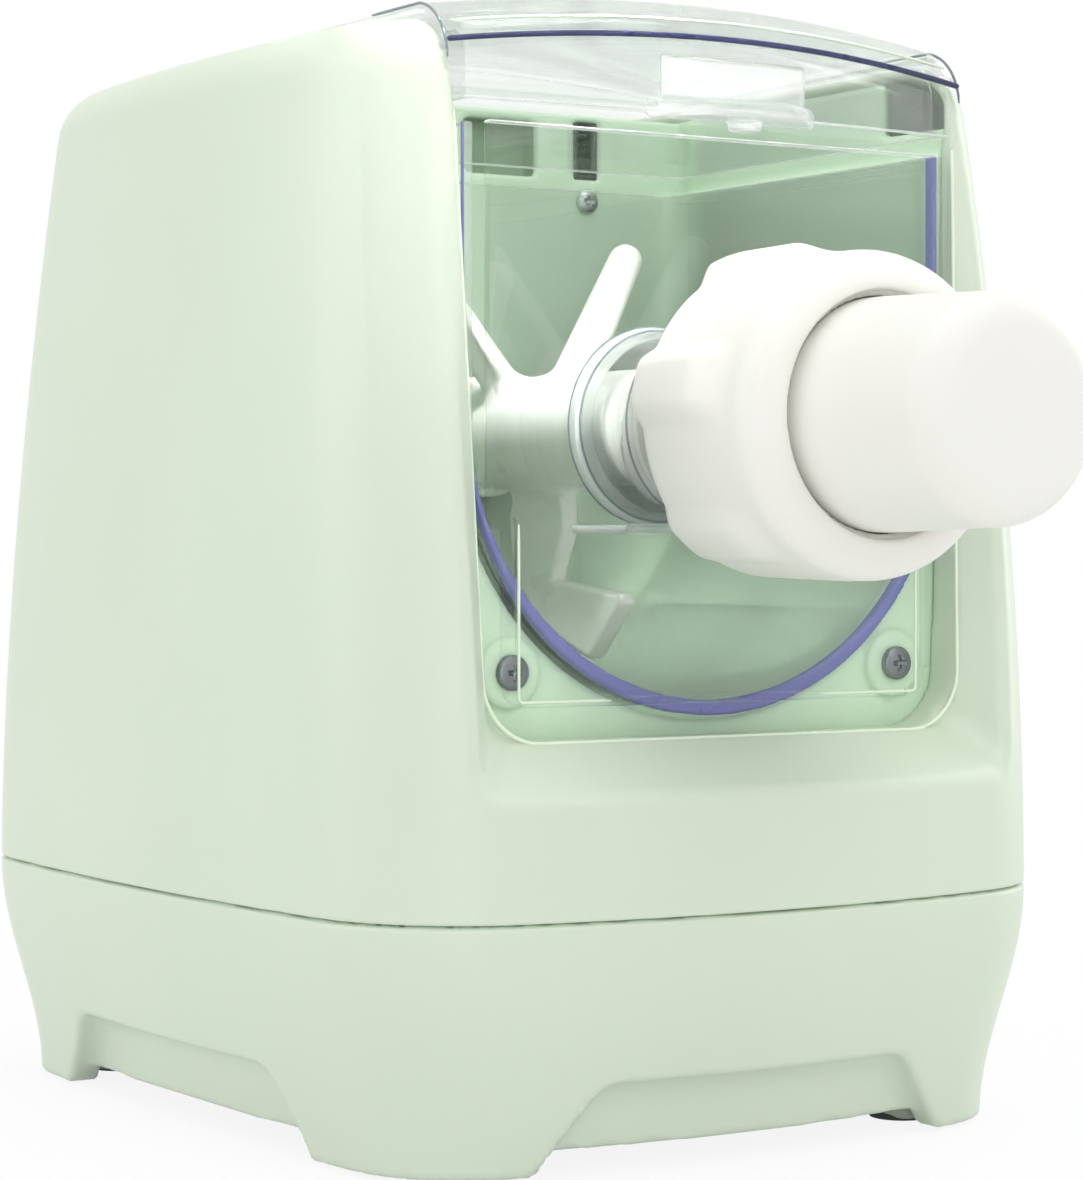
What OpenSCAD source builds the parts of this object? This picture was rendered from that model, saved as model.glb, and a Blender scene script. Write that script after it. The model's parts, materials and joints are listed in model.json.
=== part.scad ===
/* [Housing] */
// Width of the housing at the seam
body_w = 210; // [206:1:220]
// Reach of the housing's front from the plan line, at the seam
front_reach = 133; // [130:1:140]
// Reach of the housing's rear from the plan line, at the seam
rear_reach = 130; // [128:1:140]
// Height of the housing's flat top
body_h = 269; // [267:1:276]
// Height of the seam between base and upper housing
seam_z = 60; // [56:1:64]
// Wall of the moulded housing
wall = 3; // [2.4:0.1:3.4]
// Outward bulge of each long side
side_bulge = 9; // [4:0.5:14]
// Outward bulge of the front and the rear
end_bulge = 18; // [12:1:22]
// Corner radius of the housing's plan
corner_r = 42; // [38:1:46]
// How much narrower each side is at the top
side_taper = 8; // [4:0.5:9]
// How far the front leans back at the top
front_lean = 19; // [15:1:21]
// How far the rear leans forward at the top
rear_lean = 28; // [18:1:30]
// Radius of the shoulder round the top
shoulder_r = 13; // [10:0.5:14]
// How much the base draws in at the floor
base_inset = 10; // [6:0.5:11]
// Open line between base and upper housing
seam_gap = 0.6; // [0.3:0.1:1]

/* [Feet] */
// Height of the arches between the feet
arch_h = 22; // [16:1:24]
// Half the clear span of the front and rear arches at the top
arch_half_x = 48; // [40:1:52]
// Half the clear span of the side arches at the top
arch_half_y = 56; // [48:1:60]
// How much wider each arch is at the floor
arch_flare = 14; // [8:1:16]
// How far the arches are set into the base
arch_depth = 6; // [4:0.5:6.5]
// Radius of the rubber foot pads
pad_r = 8; // [6:0.5:8.5]
// How far the pads stand below the housing
pad_stand = 1; // [0.6:0.1:1.6]

/* [Window] */
// Half width of the front window at its bottom
window_half_bottom = 69.5; // [69:0.5:71]
// Half width of the front window at the top
window_half_top = 74; // [73.5:0.5:75.5]
// How far the window's lower edge lies below the mixing axis
sill_drop = 75; // [73.5:0.5:77]
// Radius of the window's lower corners
window_corner_r = 15; // [10:1:17]
// Depth of the window's lip behind the front reach, at the bottom
lip_depth_bottom = 21.5; // [19:0.5:23]
// Depth of the window's lip behind the front reach, at the top
lip_depth_top = 30; // [28:0.5:31]
// Width of the sloped cheeks beside the window
bevel_side = 9; // [6:0.5:10]
// Height of the sloped shelf below the window
bevel_bottom = 12; // [8:0.5:14]

/* [Mixing chamber] */
// How far the mixing axis lies below the housing top
axis_drop = 93.5; // [91:0.5:94]
// Outer radius of the chamber's trough
chamber_r = 69; // [66:0.5:69.2]
// Wall of the clear chamber
chamber_wall = 2.2; // [1.8:0.1:2.6]
// Depth of the chamber's rear face behind the plan line
chamber_back = 12; // [8:1:13]
// How far the chamber's rim lies below the housing top
rim_drop = 25; // [23:1:28]
// Width of the violet seal round the chamber's mouth
seal_w = 3.8; // [3:0.1:4.5]
// Thickness of that seal
seal_t = 3; // [2:0.5:3.5]

/* [Front plate] */
// Depth of the front plate's outer face behind the front reach
plate_depth = 25; // [24:0.5:27]
// Thickness of the front plate
plate_t = 3.5; // [3:0.1:4]
// Outer radius of the extrusion tube
tube_r = 23.5; // [22:0.5:24]
// Wall of the extrusion tube
tube_wall = 2.3; // [2:0.1:2.6]
// How far the tube reaches into the chamber
tube_in = 28; // [20:1:30]
// How far the tube reaches in front of the plate
tube_out = 43; // [40:1:46]

/* [Nozzle] */
// Radius of the locking nut behind its front ring
nut_r = 36; // [35.5:0.5:38]
// Length of the locking nut
nut_len = 45; // [43:1:48]
// Space between the front plate and the nut
nut_gap = 18; // [16:1:20]
// Height of the nut's grip lobes
lobe_h = 5; // [2:0.5:5.5]
// Number of grip lobes
lobe_count = 6; // [3:1:8]
// Thickness of the shaping disc
disc_t = 6; // [4:0.5:7]
// Radius of the end cap at its base
cap_r = 26.5; // [25.5:0.5:27]
// How far the end cap stands in front of the nut
cap_out = 45; // [38:1:50]
// Wall of the end cap
cap_wall = 2.2; // [1.6:0.1:3]
// Turn of the nut from locked to free
nut_turn = 40; // [30:1:45]

/* [Lid] */
// Height of the lid's crown above the housing top
lid_rise = 8; // [7:0.5:9]
// How much the crown falls towards the lid's sides
lid_crown = 5; // [3:0.5:5.5]
// Wall of the clear lid
lid_wall = 2.4; // [2:0.1:2.8]
// Radius of the lid's rounded front
lid_nose_r = 15; // [12:0.5:16]
// How far the lid's front skirt hangs below the housing top
lid_skirt = 20; // [18:0.5:21]
// Depth of the lid's hinge axis behind the plan line
hinge_y = 29; // [28:0.5:31]
// Radius of the hinge pin
hinge_pin_r = 1.5; // [1.2:0.1:1.8]

/* [Panel] */
// Length of the control panel from side to side
panel_w = 112; // [104:1:114]
// Depth of the control panel
panel_d = 41; // [40:1:42]
// Thickness of the control panel
panel_t = 2.4; // [2:0.1:3]
// Radius of the panel's buttons
button_r = 7; // [5:0.5:7.5]
// Travel of the buttons
button_travel = 1; // [0.6:0.1:1.4]
// Spacing of the buttons
button_pitch = 19; // [18:0.5:20]

/* [Drive] */
// Module of the output gear and its pinion
output_module = 1.5; // [1.4:0.05:1.55]
// Teeth of the output gear
output_teeth = 54; // [50:1:56]
// Module of the motor stage
input_module = 1; // [0.9:0.05:1.05]
// Teeth of the gear driven by the motor
input_teeth = 60; // [54:1:62]
// Teeth of both pinions
pinion_teeth = 12; // [12:1:13]
// Radius of the drive shaft
shaft_r = 5; // [4.5:0.1:5.5]
// Radius of the motor's can
motor_r = 32; // [28:1:34]
// Length of the motor's can
motor_len = 46; // [40:1:50]

/* [Hidden] */

mint = "#cfe3cb";
mint_dark = "#b9d3b6";
clear = [0.88, 0.94, 0.94, 0.35];
violet = "#6b6fa8";
ivory = "#f3f3ef";
steel = "#b8bcc0";
black = "#222428";
copper = "#b87333";
board_green = "#2f6b45";

$fn = 48;
eps = 0.01;
big = 400;

// Running clearance between a shaft and its bore, and the gap beside sliding parts
run = 0.05;
slide = 0.6;

// Lengthwise places, measured from the plan line and running to the rear
plan_mid = (rear_reach - front_reach) / 2;
plate_front = -(front_reach - plate_depth);
plate_rear = plate_front + plate_t;
seal_front = plate_rear + 0.1;
chamber_front = seal_front + seal_t;
nut_rear = plate_front - nut_gap;
nut_front = nut_rear - nut_len;
tube_front = plate_front - tube_out;
tube_rear = plate_rear + tube_in;
cap_front = nut_front - cap_out;
liner_back = chamber_back + 3;
lid_front = -(front_reach - 23);

// The origin lies below the middle of the whole length
frame_shift = (-cap_front - rear_reach) / 2;

// Heights
axis_z = body_h - axis_drop;
window_z = axis_z - sill_drop;
top_inner = body_h - wall;
chamber_top = body_h - rim_drop;
lid_top = body_h + lid_rise;
hinge_z = body_h - 6.5;

// Liner
liner_t = 2;
liner_r = chamber_r + 2.6;
liner_flange_y = chamber_front + 1.5;
boss_x = 57;
boss_z = axis_z - 59;

// ---- Plan and profile of the housing --------------------------------------

function arc_points(c, r, a0, a1, n) =
    [for (i = [0:n]) c + r * [cos(a0 + (a1 - a0) * i / n), sin(a0 + (a1 - a0) * i / n)]];

function all_but_first(list) = [for (i = [1:len(list) - 1]) list[i]];

function reversed(list) = [for (i = [len(list) - 1:-1:0]) list[i]];

// One quarter of a rectangle with bulged sides and round corners, from +X to +Y
function quarter_plan(a, b, sb, eb, r) =
    let (
        side_arc = (b * b + sb * sb) / (2 * sb),
        end_arc = (a * a + eb * eb) / (2 * eb),
        side_c = [a - side_arc, 0],
        end_c = [0, b - end_arc],
        v = end_c - side_c,
        gap = norm(v),
        u = v / gap,
        d1 = side_arc - r,
        d2 = end_arc - r,
        k = (d1 * d1 - d2 * d2 + gap * gap) / (2 * gap),
        h = sqrt(d1 * d1 - k * k),
        c = side_c + k * u + h * [-u[1], u[0]],
        a1 = atan2(c[1] - side_c[1], c[0] - side_c[0]),
        a2 = atan2(c[1] - end_c[1], c[0] - end_c[0])
    )
    concat(
        arc_points(side_c, side_arc, 0, a1, 4),
        all_but_first(arc_points(c, r, a1, a2, 7)),
        all_but_first(arc_points(end_c, end_arc, a2, 90, 4))
    );

function full_plan(q) =
    concat(
        q,
        all_but_first(reversed([for (p = q) [-p[0], p[1]]])),
        all_but_first([for (p = q) [-p[0], -p[1]]]),
        all_but_first(reversed([for (i = [1:len(q) - 1]) [q[i][0], -q[i][1]]]))
    );

function rise(z) = max(0, z - seam_z) / (body_h - seam_z);

function base_draw(z) = z >= seam_z ? 0 : base_inset * (1 - cos(180 * (seam_z - z) / seam_z)) / 2;

function half_width(z) = body_w / 2 - side_taper * pow(rise(z), 2);

function front_at(z) = front_reach - front_lean * pow(rise(z), 1.8);

function rear_at(z) = rear_reach - rear_lean * pow(rise(z), 1.5);

// Outline of the housing at height z, drawn in by an inset
function section(z, inset) =
    let (
        i = inset + base_draw(z),
        a = half_width(z) - i,
        b = (front_at(z) + rear_at(z)) / 2 - i,
        m = (rear_at(z) - front_at(z)) / 2
    )
    [for (p = full_plan(quarter_plan(a, b, side_bulge, end_bulge, max(corner_r - i, 12))))
        [p[0], p[1] + m]];

// Depth of the front surface at a width x and a height z
function front_surface(x, z) =
    let (a = half_width(z), arc = (a * a + end_bulge * end_bulge) / (2 * end_bulge))
    -(front_at(z) - arc + sqrt(arc * arc - x * x));

// Solid between two outlines, given as [height, inset]
module band(low, high) {
    ring_low = [for (p = section(low[0], low[1])) [p[0], p[1], low[0]]];
    ring_high = [for (p = section(high[0], high[1])) [p[0], p[1], high[0]]];
    n = len(ring_low);
    hull()
        polyhedron(concat(ring_low, ring_high), [[for (i = [0:n - 1]) i], [for (i = [0:n - 1]) n + i]]);
}

module loft(levels) {
    for (i = [0:len(levels) - 2])
        band(levels[i], levels[i + 1]);
}

// Levels from z0 up to the shoulder and over it
function housing_levels(z0, inset) =
    let (top0 = body_h - shoulder_r, r = shoulder_r - inset)
    concat(
        [for (i = [0:6]) [z0 + (top0 - z0) * i / 6, inset]],
        [for (a = [18:18:90]) [top0 + r * sin(a), inset + r * (1 - cos(a))]]
    );

function straight_levels(z0, z1, inset, n) = [for (i = [0:n]) [z0 + (z1 - z0) * i / n, inset]];

// ---- Window -----------------------------------------------------------------

function window_half(z) =
    window_half_bottom
    + (window_half_top - window_half_bottom) * (z - window_z) / (body_h - window_z);

function lip_y(z) =
    -(front_reach - lip_depth_bottom)
    + (lip_depth_top - lip_depth_bottom) * (z - window_z) / (body_h - window_z);

// Outline of the window in width and height, open upwards, grown by side and bottom
function window_outline(side, bottom, r, top) =
    let (z0 = window_z - bottom, x0 = window_half(z0) + side, x1 = window_half(top) + side)
    concat(
        [[-x1, top]],
        arc_points([-(x0 - r), z0 + r], r, 180, 270, 5),
        arc_points([x0 - r, z0 + r], r, 270, 360, 5),
        [[x1, top]]
    );

module window_prism(side, bottom, r, top, y0, y1) {
    translate([0, y1, 0])
        rotate([90, 0, 0])
            linear_extrude(y1 - y0)
                polygon(window_outline(side, bottom, r, top));
}

// Wedge-shaped ring that cuts the cheeks and the shelf round the window
module bevel_cutter() {
    top = body_h + 12;
    inner = [for (p = window_outline(-0.5, -0.5, window_corner_r - 0.5, top)) [p[0], lip_y(p[1]), p[1]]];
    outer_xz = window_outline(bevel_side + 0.5, bevel_bottom + 0.7, 7, top);
    outer = [for (p = outer_xz) [p[0], front_surface(p[0], p[1]) - 1, p[1]]];
    far = [for (p = outer_xz) [p[0], -(front_reach + 10), p[1]]];
    n = len(inner);
    hull()
        polyhedron(concat(inner, outer, far), [for (k = [0:2]) [for (i = [0:n - 1]) k * n + i]]);
}

// ---- Helpers ----------------------------------------------------------------

module in_frame() {
    translate([0, frame_shift, 0])
        children();
}

// Cylinder along the depth, from y0 to y1
module rod(r, y0, y1, x = 0, z = axis_z) {
    translate([x, y1, z])
        rotate([90, 0, 0])
            cylinder(r = r, h = y1 - y0);
}

module tube_ring(r_out, r_in, y0, y1, x = 0, z = axis_z) {
    difference() {
        rod(r_out, y0, y1, x, z);
        rod(r_in, y0 - 1, y1 + 1, x, z);
    }
}

module block(x0, x1, y0, y1, z0, z1) {
    translate([x0, y0, z0])
        cube([x1 - x0, y1 - y0, z1 - z0]);
}

// Revolved about the mixing axis: profile points are [radius, distance to the front]
module revolved(y_start) {
    translate([0, y_start, axis_z])
        rotate([90, 0, 0])
            rotate_extrude($fn = 64)
                children();
}

// Trough shape in width and height: a half round with straight sides up to a rim
module trough_2d(r, top) {
    translate([0, axis_z])
        circle(r = r, $fn = 96);
    translate([-r, axis_z])
        square([2 * r, top - axis_z]);
}

module trough(r, top, y0, y1) {
    translate([0, y1, 0])
        rotate([90, 0, 0])
            linear_extrude(y1 - y0)
                trough_2d(r, top);
}

// ---- Housing ----------------------------------------------------------------

screw_x = body_w / 2 - 25;
screw_y = 58;
screw_r = 2;
pillar_r = 6;

module at_housing_screws() {
    for (sx = [-1, 1], sy = [-1, 1])
        translate([sx * screw_x, plan_mid + sy * screw_y, 0])
            children();
}

// Ribs that tie the screw pillars to the side walls
module screw_ribs(z0, z1) {
    for (sx = [-1, 1], sy = [-1, 1])
        translate([sx * (screw_x + 19), plan_mid + sy * screw_y, (z0 + z1) / 2])
            cube([30, 2, z1 - z0], center = true);
}

panel_y0 = hinge_y + 13;
lid_well_y = hinge_y + 9.5;
panel_mid = panel_y0 + panel_d / 2;

// Rear face of the inlet pocket
inlet_y = rear_reach - 14;
inlet_x = -52;
inlet_z = 41;

module vent_slots() {
    for (i = [-4:4])
        block(i * 9 - 2, i * 9 + 2, rear_reach - 40, rear_reach + 10, seam_z + 24, seam_z + 64);
}

module upper_housing() {
    $fn = 24;
    z0 = seam_z + seam_gap;
    color(mint) in_frame() {
        difference() {
            loft(housing_levels(z0, 0));
            difference() {
                loft(housing_levels(z0 - 1, wall));
                window_prism(bevel_side + wall, bevel_bottom + wall, 9, body_h + 5,
                    -front_reach, liner_flange_y);
            }
            window_prism(0, 0, window_corner_r, body_h + 20, -front_reach - 20, liner_flange_y + 5);
            bevel_cutter();
            block(-window_half_top + 0.4, window_half_top - 0.4, liner_flange_y, lid_well_y,
                body_h - 20, body_h + 20);
            block(-panel_w / 2, panel_w / 2, panel_y0, panel_y0 + panel_d, body_h - panel_t, body_h + 5);
            block(-panel_w / 2 + 4, panel_w / 2 - 4, panel_y0 + 4, panel_y0 + panel_d - 4,
                body_h - 10, body_h + 5);
            vent_slots();
        }
        intersection() {
            union() {
                at_housing_screws()
                    difference() {
                        translate([0, 0, z0])
                            cylinder(r = pillar_r, h = 24);
                        translate([0, 0, z0 - 1])
                            cylinder(r = screw_r + 0.1, h = 18);
                    }
                screw_ribs(z0, z0 + 24);
            }
            loft(straight_levels(z0, z0 + 30, wall / 2, 2));
        }
    }
}

// Rounded trapezoid of an arch, with its foot on the floor line
module arch_2d(half) {
    r = 9;
    hull() {
        for (s = [-1, 1]) {
            translate([s * (half - r), arch_h - r])
                circle(r = r, $fn = 24);
            translate([s * (half + arch_flare - 1), -3])
                circle(r = 1, $fn = 8);
        }
    }
}

module arches() {
    translate([0, big / 2, 0])
        rotate([90, 0, 0])
            linear_extrude(big)
                arch_2d(arch_half_x);
    translate([-big / 2, plan_mid, 0])
        rotate([90, 0, 90])
            linear_extrude(big)
                arch_2d(arch_half_y);
}

skirt_inset = 8.5;
skirt_z = 6;
tray_z = 27;
foot_x = body_w / 2 - 38;
foot_y = (front_reach + rear_reach) / 2 - 41;

module at_feet() {
    for (sx = [-1, 1], sy = [-1, 1])
        translate([sx * foot_x, plan_mid + sy * foot_y, 0])
            children();
}

module inlet_opening(grow, y0, y1) {
    block(inlet_x - 14 - grow, inlet_x + 14 + grow, y0, y1, inlet_z - 10.5 - grow, inlet_z + 10.5 + grow);
}

module base_shell() {
    $fn = 24;
    color(mint) in_frame() {
        difference() {
            union() {
                difference() {
                    loft(straight_levels(pad_stand, seam_z, 0, 6));
                    loft(straight_levels(tray_z, seam_z + 1, wall, 3));
                    loft(straight_levels(pad_stand - 1, tray_z + eps, skirt_inset, 2));
                }
                intersection() {
                    union() {
                        at_feet()
                            translate([0, 0, pad_stand])
                                cylinder(r = pad_r + 3, h = 8);
                        at_housing_screws()
                            translate([0, 0, base_plate_z])
                                cylinder(r = pillar_r, h = seam_z - base_plate_z);
                        screw_ribs(tray_z, seam_z);
                        inlet_opening(3, inlet_y - 14, rear_reach);
                    }
                    loft(straight_levels(pad_stand, seam_z, 1, 2));
                }
            }
            difference() {
                arches();
                loft(straight_levels(skirt_z, tray_z + 4, arch_depth, 1));
            }
            at_feet()
                translate([0, 0, -1])
                    cylinder(r = pad_r + 0.2, h = 4);
            at_housing_screws()
                cylinder(r = screw_r + 0.4, h = big);
            inlet_opening(0, inlet_y - 40, rear_reach + 10);
            inlet_opening(2, inlet_y, rear_reach + 10);
        }
    }
}

base_plate_z = pad_stand + 8;
base_plate_t = 2.5;

module base_plate() {
    color(mint_dark) in_frame() {
        difference() {
            loft(straight_levels(base_plate_z, base_plate_z + base_plate_t, skirt_inset + 0.4, 1));
            for (i = [-5:5])
                block(i * 9 - 2, i * 9 + 2, plan_mid + 12, plan_mid + 62,
                    base_plate_z - 1, base_plate_z + 5);
            at_housing_screws()
                cylinder(r = pillar_r + 0.3, h = big);
        }
    }
}

module rubber_feet() {
    color(black) in_frame()
        at_feet()
            cylinder(r = pad_r, h = 3);
}

module housing_screws() {
    color(steel) in_frame()
        at_housing_screws()
            union() {
                translate([0, 0, base_plate_z - 3])
                    cylinder(r = 3.6, h = 3);
                translate([0, 0, base_plate_z - 0.01])
                    cylinder(r = screw_r, h = seam_z + seam_gap + 15 - base_plate_z);
            }
}

// ---- Bay liner --------------------------------------------------------------

slot_x = 41.5;
slot_z0 = body_h - 21.5;
slot_z1 = body_h - 5.5;
pocket_x0 = 2;
pocket_x1 = 25;
well_z = body_h - lid_skirt - 4;
well_half = window_half_top - 0.2;
switch_z = slot_z0 - 6;
skid_x = 20;

module bay_liner() {
    color(mint) in_frame() {
        difference() {
            union() {
                trough(liner_r + liner_t, well_z, liner_flange_y, liner_back + liner_t);
                window_prism(bevel_side - 5, bevel_bottom - 1, 9, well_z,
                    liner_flange_y, liner_flange_y + 2.5);
                // Well under the lid and its hinge
                difference() {
                    block(-well_half - liner_t, well_half + liner_t, liner_flange_y,
                        lid_well_y + liner_t + 0.1, well_z - liner_t, top_inner - 0.1);
                    block(-well_half, well_half, liner_flange_y - 5, lid_well_y + 0.1, well_z, body_h + 5);
                    block(-big, big, liner_flange_y - 5, liner_flange_y + 22, body_h - 17, body_h + 5);
                    hinge_bore(hinge_pin_r);
                }
                block(-well_half - 1, well_half + 1, liner_back, liner_back + liner_t,
                    well_z - 1, top_inner - 0.1);
                for (s = [-1, 1])
                    rod(8.5, liner_flange_y - 2, liner_flange_y + 1, s * boss_x, boss_z);
                rod(24, liner_back, liner_back + 6);
                block(pocket_x0 - 2, pocket_x1 + 2, liner_back, liner_back + 8, well_z - 1, slot_z1 + 1);
                block(slot_x - 6, slot_x + 6, liner_back, liner_back + 8, well_z - 1, slot_z1 + 2);
            }
            trough(liner_r, body_h + 10, liner_flange_y - 5, liner_back);
            rod(bush_r, liner_back - 5, liner_back + 12);
            for (s = [-1, 1])
                rod(2.3, liner_flange_y - 10, liner_flange_y + 12, s * boss_x, boss_z);
            block(pocket_x0, pocket_x1, liner_back - 1, liner_back + 6, slot_z0, slot_z1 - 1);
            block(slot_x - 4, slot_x + 4, liner_back - 1, liner_back + 10, slot_z0, slot_z1);
            rod(1.5, liner_back - 5, liner_back + 12, slot_x, switch_z);
        }
        // Skids that carry the chamber
        for (s = [-1, 1])
            block(s * skid_x - 2, s * skid_x + 2, liner_flange_y + 3, liner_back - 2,
                axis_z - sqrt(pow(liner_r + 0.5, 2) - pow(skid_x + 2, 2)),
                axis_z - sqrt(pow(chamber_r + run, 2) - pow(skid_x - 2, 2)));
    }
}

module liner_screws() {
    color(steel) in_frame()
        for (s = [-1, 1])
            union() {
                rod(2.2, liner_flange_y - 1, liner_flange_y + 10, s * boss_x, boss_z);
                rod(4.2, liner_flange_y - 4.5, liner_flange_y - 2, s * boss_x, boss_z);
                rod(2.2, liner_flange_y - 2.5, liner_flange_y, s * boss_x, boss_z);
            }
}

module interlock_socket() {
    color(black) in_frame()
        difference() {
            block(slot_x - 3.9, slot_x + 3.9, liner_back + 0.2, liner_back + 9,
                slot_z0 + 0.1, slot_z1 - 0.1);
            block(slot_x - 2.6, slot_x + 2.6, liner_back - 1, liner_back + 7, slot_z0 + 1.4, slot_z1 - 1.4);
        }
}

module contact_leaves() {
    color(steel) in_frame()
        for (i = [0:3])
            translate([slot_x, liner_back + 5.4, slot_z0 + 3 + i * 3.3])
                rotate([30, 0, 0])
                    cube([3.6, 2.6, 0.5], center = true);
}

module wall_screw() {
    color(steel) in_frame() {
        rod(3.4, liner_back - 2, liner_back, slot_x, switch_z);
        rod(1.5, liner_back - 0.5, liner_back + 9, slot_x, switch_z);
    }
}

module lid_switch() {
    z1 = well_z - liner_t;
    y0 = liner_back + liner_t;
    color(black) in_frame()
        difference() {
            union() {
                block(slot_x - 9, slot_x + 9, y0, y0 + 9, z1 - 13, z1 - 0.1);
                for (x = [-7.5, 7.5])
                    block(slot_x + x - 1.5, slot_x + x + 1.5, y0 + 2, y0 + 6, z1 - 17, z1 - 12);
            }
            rod(1.5, liner_back, liner_back + 12, slot_x, switch_z);
        }
}

// ---- Control panel ----------------------------------------------------------

button_z = body_h + 0.6;
button_y = panel_y0 + 13;
button_names = 4;
board_z = body_h - 18;

function button_x(i) = (i - (button_names - 1) / 2) * button_pitch;

module control_panel() {
    color(ivory) in_frame()
        difference() {
            block(-panel_w / 2 + 0.2, panel_w / 2 - 0.2, panel_y0 + 0.2, panel_y0 + panel_d - 0.2,
                body_h - panel_t, body_h + 0.2);
            for (i = [0:button_names - 1])
                translate([button_x(i), button_y, body_h - 10])
                    cylinder(r = button_r + 0.3, h = 20);
            block(-26, 26, panel_y0 + 23.5, panel_y0 + 35.5, body_h - 10, body_h + 5);
        }
}

module display_window() {
    color(black) in_frame() {
        block(-25.8, 25.8, panel_y0 + 23.7, panel_y0 + 35.3, body_h - panel_t, body_h + 0.1);
        block(-28, 28, panel_y0 + 22, panel_y0 + 36.8, body_h - panel_t - 1.5, body_h - panel_t);
    }
}

module control_board() {
    color(board_green) in_frame() {
        block(-panel_w / 2 + 8, panel_w / 2 - 8, panel_y0 + 5, panel_y0 + panel_d - 5,
            board_z, board_z + 1.6);
        block(-24, 24, panel_y0 + 23, panel_y0 + 35, board_z + 1.59, body_h - panel_t - 2.5);
    }
}

module panel_switches() {
    color(black) in_frame()
        for (i = [0:button_names - 1])
            translate([button_x(i), button_y, board_z + 1.6]) {
                translate([-3, -3, 0])
                    cube([6, 6, 3.5]);
                cylinder(r = 1.7, h = 4.2);
            }
}

module button(i) {
    flange_top = body_h - panel_t - button_travel / 10;
    switch_top = board_z + 1.6 + 4.2 + button_travel + 0.2;
    in_frame()
        translate([button_x(i), button_y, 0]) {
            translate([0, 0, flange_top - 1])
                cylinder(r = button_r, h = button_z - flange_top + 1);
            translate([0, 0, flange_top - 1.5])
                cylinder(r = button_r + 1, h = 1.5);
            translate([0, 0, switch_top])
                cylinder(r = 2.5, h = flange_top - switch_top);
        }
}

module power_button() { color(ivory) button(0); }
module program_button() { color(ivory) button(1); }
module weight_button() { color(ivory) button(2); }
module start_button() { color(mint_dark) button(3); }

// ---- Lid --------------------------------------------------------------------

lid_half = window_half_top + 2;
lid_inner_half = window_half_bottom + 2;
crown_r = (lid_half * lid_half + lid_crown * lid_crown) / (2 * lid_crown);
lid_rear = hinge_y - 9.5;

// Rounded front profile of the lid in depth and height
module lid_profile(inset, bottom) {
    r = lid_nose_r - inset;
    y0 = lid_front + inset;
    z1 = lid_top - inset;
    intersection() {
        hull() {
            translate([y0 + r, z1 - r])
                circle(r = r, $fn = 64);
            translate([y0, bottom - r])
                square([lid_rear - y0, 1]);
            translate([lid_rear - 1, z1 - 1])
                square([1, 1]);
        }
        translate([y0 - 1, bottom])
            square([lid_rear - y0 + 1, lid_top - bottom]);
    }
}

module lid_block(half, inset, bottom) {
    intersection() {
        translate([-half, 0, 0])
            rotate([90, 0, 90])
                linear_extrude(2 * half)
                    lid_profile(inset, bottom);
        rod(crown_r - inset, lid_front - 5, lid_rear + 5, 0, lid_top - crown_r, $fn = 480);
    }
}

gasket_drop = 9;
gasket_h = 1.8;

module gasket_ring(grow, y0, y1) {
    intersection() {
        tube_ring(crown_r - gasket_drop + grow, crown_r - gasket_drop - gasket_h - grow, y0, y1,
            0, lid_top - crown_r, $fn = 480);
        block(-lid_half + 0.3 - grow, lid_half - 0.3 + grow, lid_front - 20, lid_rear, body_h - 30, big);
    }
}

module lid_shell() {
    rim_z = body_h + 0.25;
    color(clear) in_frame() {
        difference() {
            union() {
                lid_block(lid_half, 0, rim_z);
                // The nose wraps down in front of the housing's shoulders
                intersection() {
                    lid_block(lid_half, 0, body_h - lid_skirt);
                    block(-lid_half, lid_half, lid_front - 5, lid_front + lid_wall, body_h - 7, big);
                }
                intersection() {
                    lid_block(lid_inner_half, 0, body_h - lid_skirt);
                    block(-lid_half, lid_half, lid_front - 5, chamber_back, body_h - lid_skirt, big);
                }
            }
            lid_block(lid_inner_half - lid_wall, lid_wall, body_h - lid_skirt - 5);
            gasket_ring(0.05, lid_front - 5, lid_front + 1.05);
        }
        // Rear wall of the skirt that reaches into the bay
        intersection() {
            lid_block(lid_inner_half, 0.1, body_h - lid_skirt);
            block(-lid_inner_half, lid_inner_half, chamber_back - lid_wall, chamber_back,
                body_h - lid_skirt, big);
        }
        // Rear wall, web and hinge barrel
        intersection() {
            lid_block(lid_half, 0, rim_z);
            block(-lid_half, lid_half, lid_rear - lid_wall, lid_rear + 5, rim_z, big);
        }
        difference() {
            union() {
                translate([-lid_inner_half + 1, 0, 0])
                    rotate([90, 0, 90])
                        linear_extrude(2 * lid_inner_half - 2)
                            translate([hinge_y, hinge_z])
                                circle(r = 4, $fn = 48);
                block(-lid_inner_half + 1, lid_inner_half - 1, lid_rear - 1, hinge_y + 1, rim_z, rim_z + 2);
                block(-lid_inner_half + 1, lid_inner_half - 1, hinge_y - 2, hinge_y + 1, hinge_z, rim_z + 2);
            }
            hinge_bore(hinge_pin_r + run);
        }
    }
}

module hinge_bore(r) {
    translate([-big / 2, hinge_y, hinge_z])
        rotate([0, 90, 0])
            cylinder(r = r, h = big);
}

module hinge_pin() {
    half = well_half + liner_t;
    color(steel) in_frame()
        translate([-half, hinge_y, hinge_z])
            rotate([0, 90, 0])
                cylinder(r = hinge_pin_r, h = 2 * half);
}

module lid_gasket() {
    color(violet) in_frame()
        gasket_ring(0, lid_front - 0.5, lid_front + 1);
}

tab_half = 21;
ledge_half = 25;
ledge_reach = 15;

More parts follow.
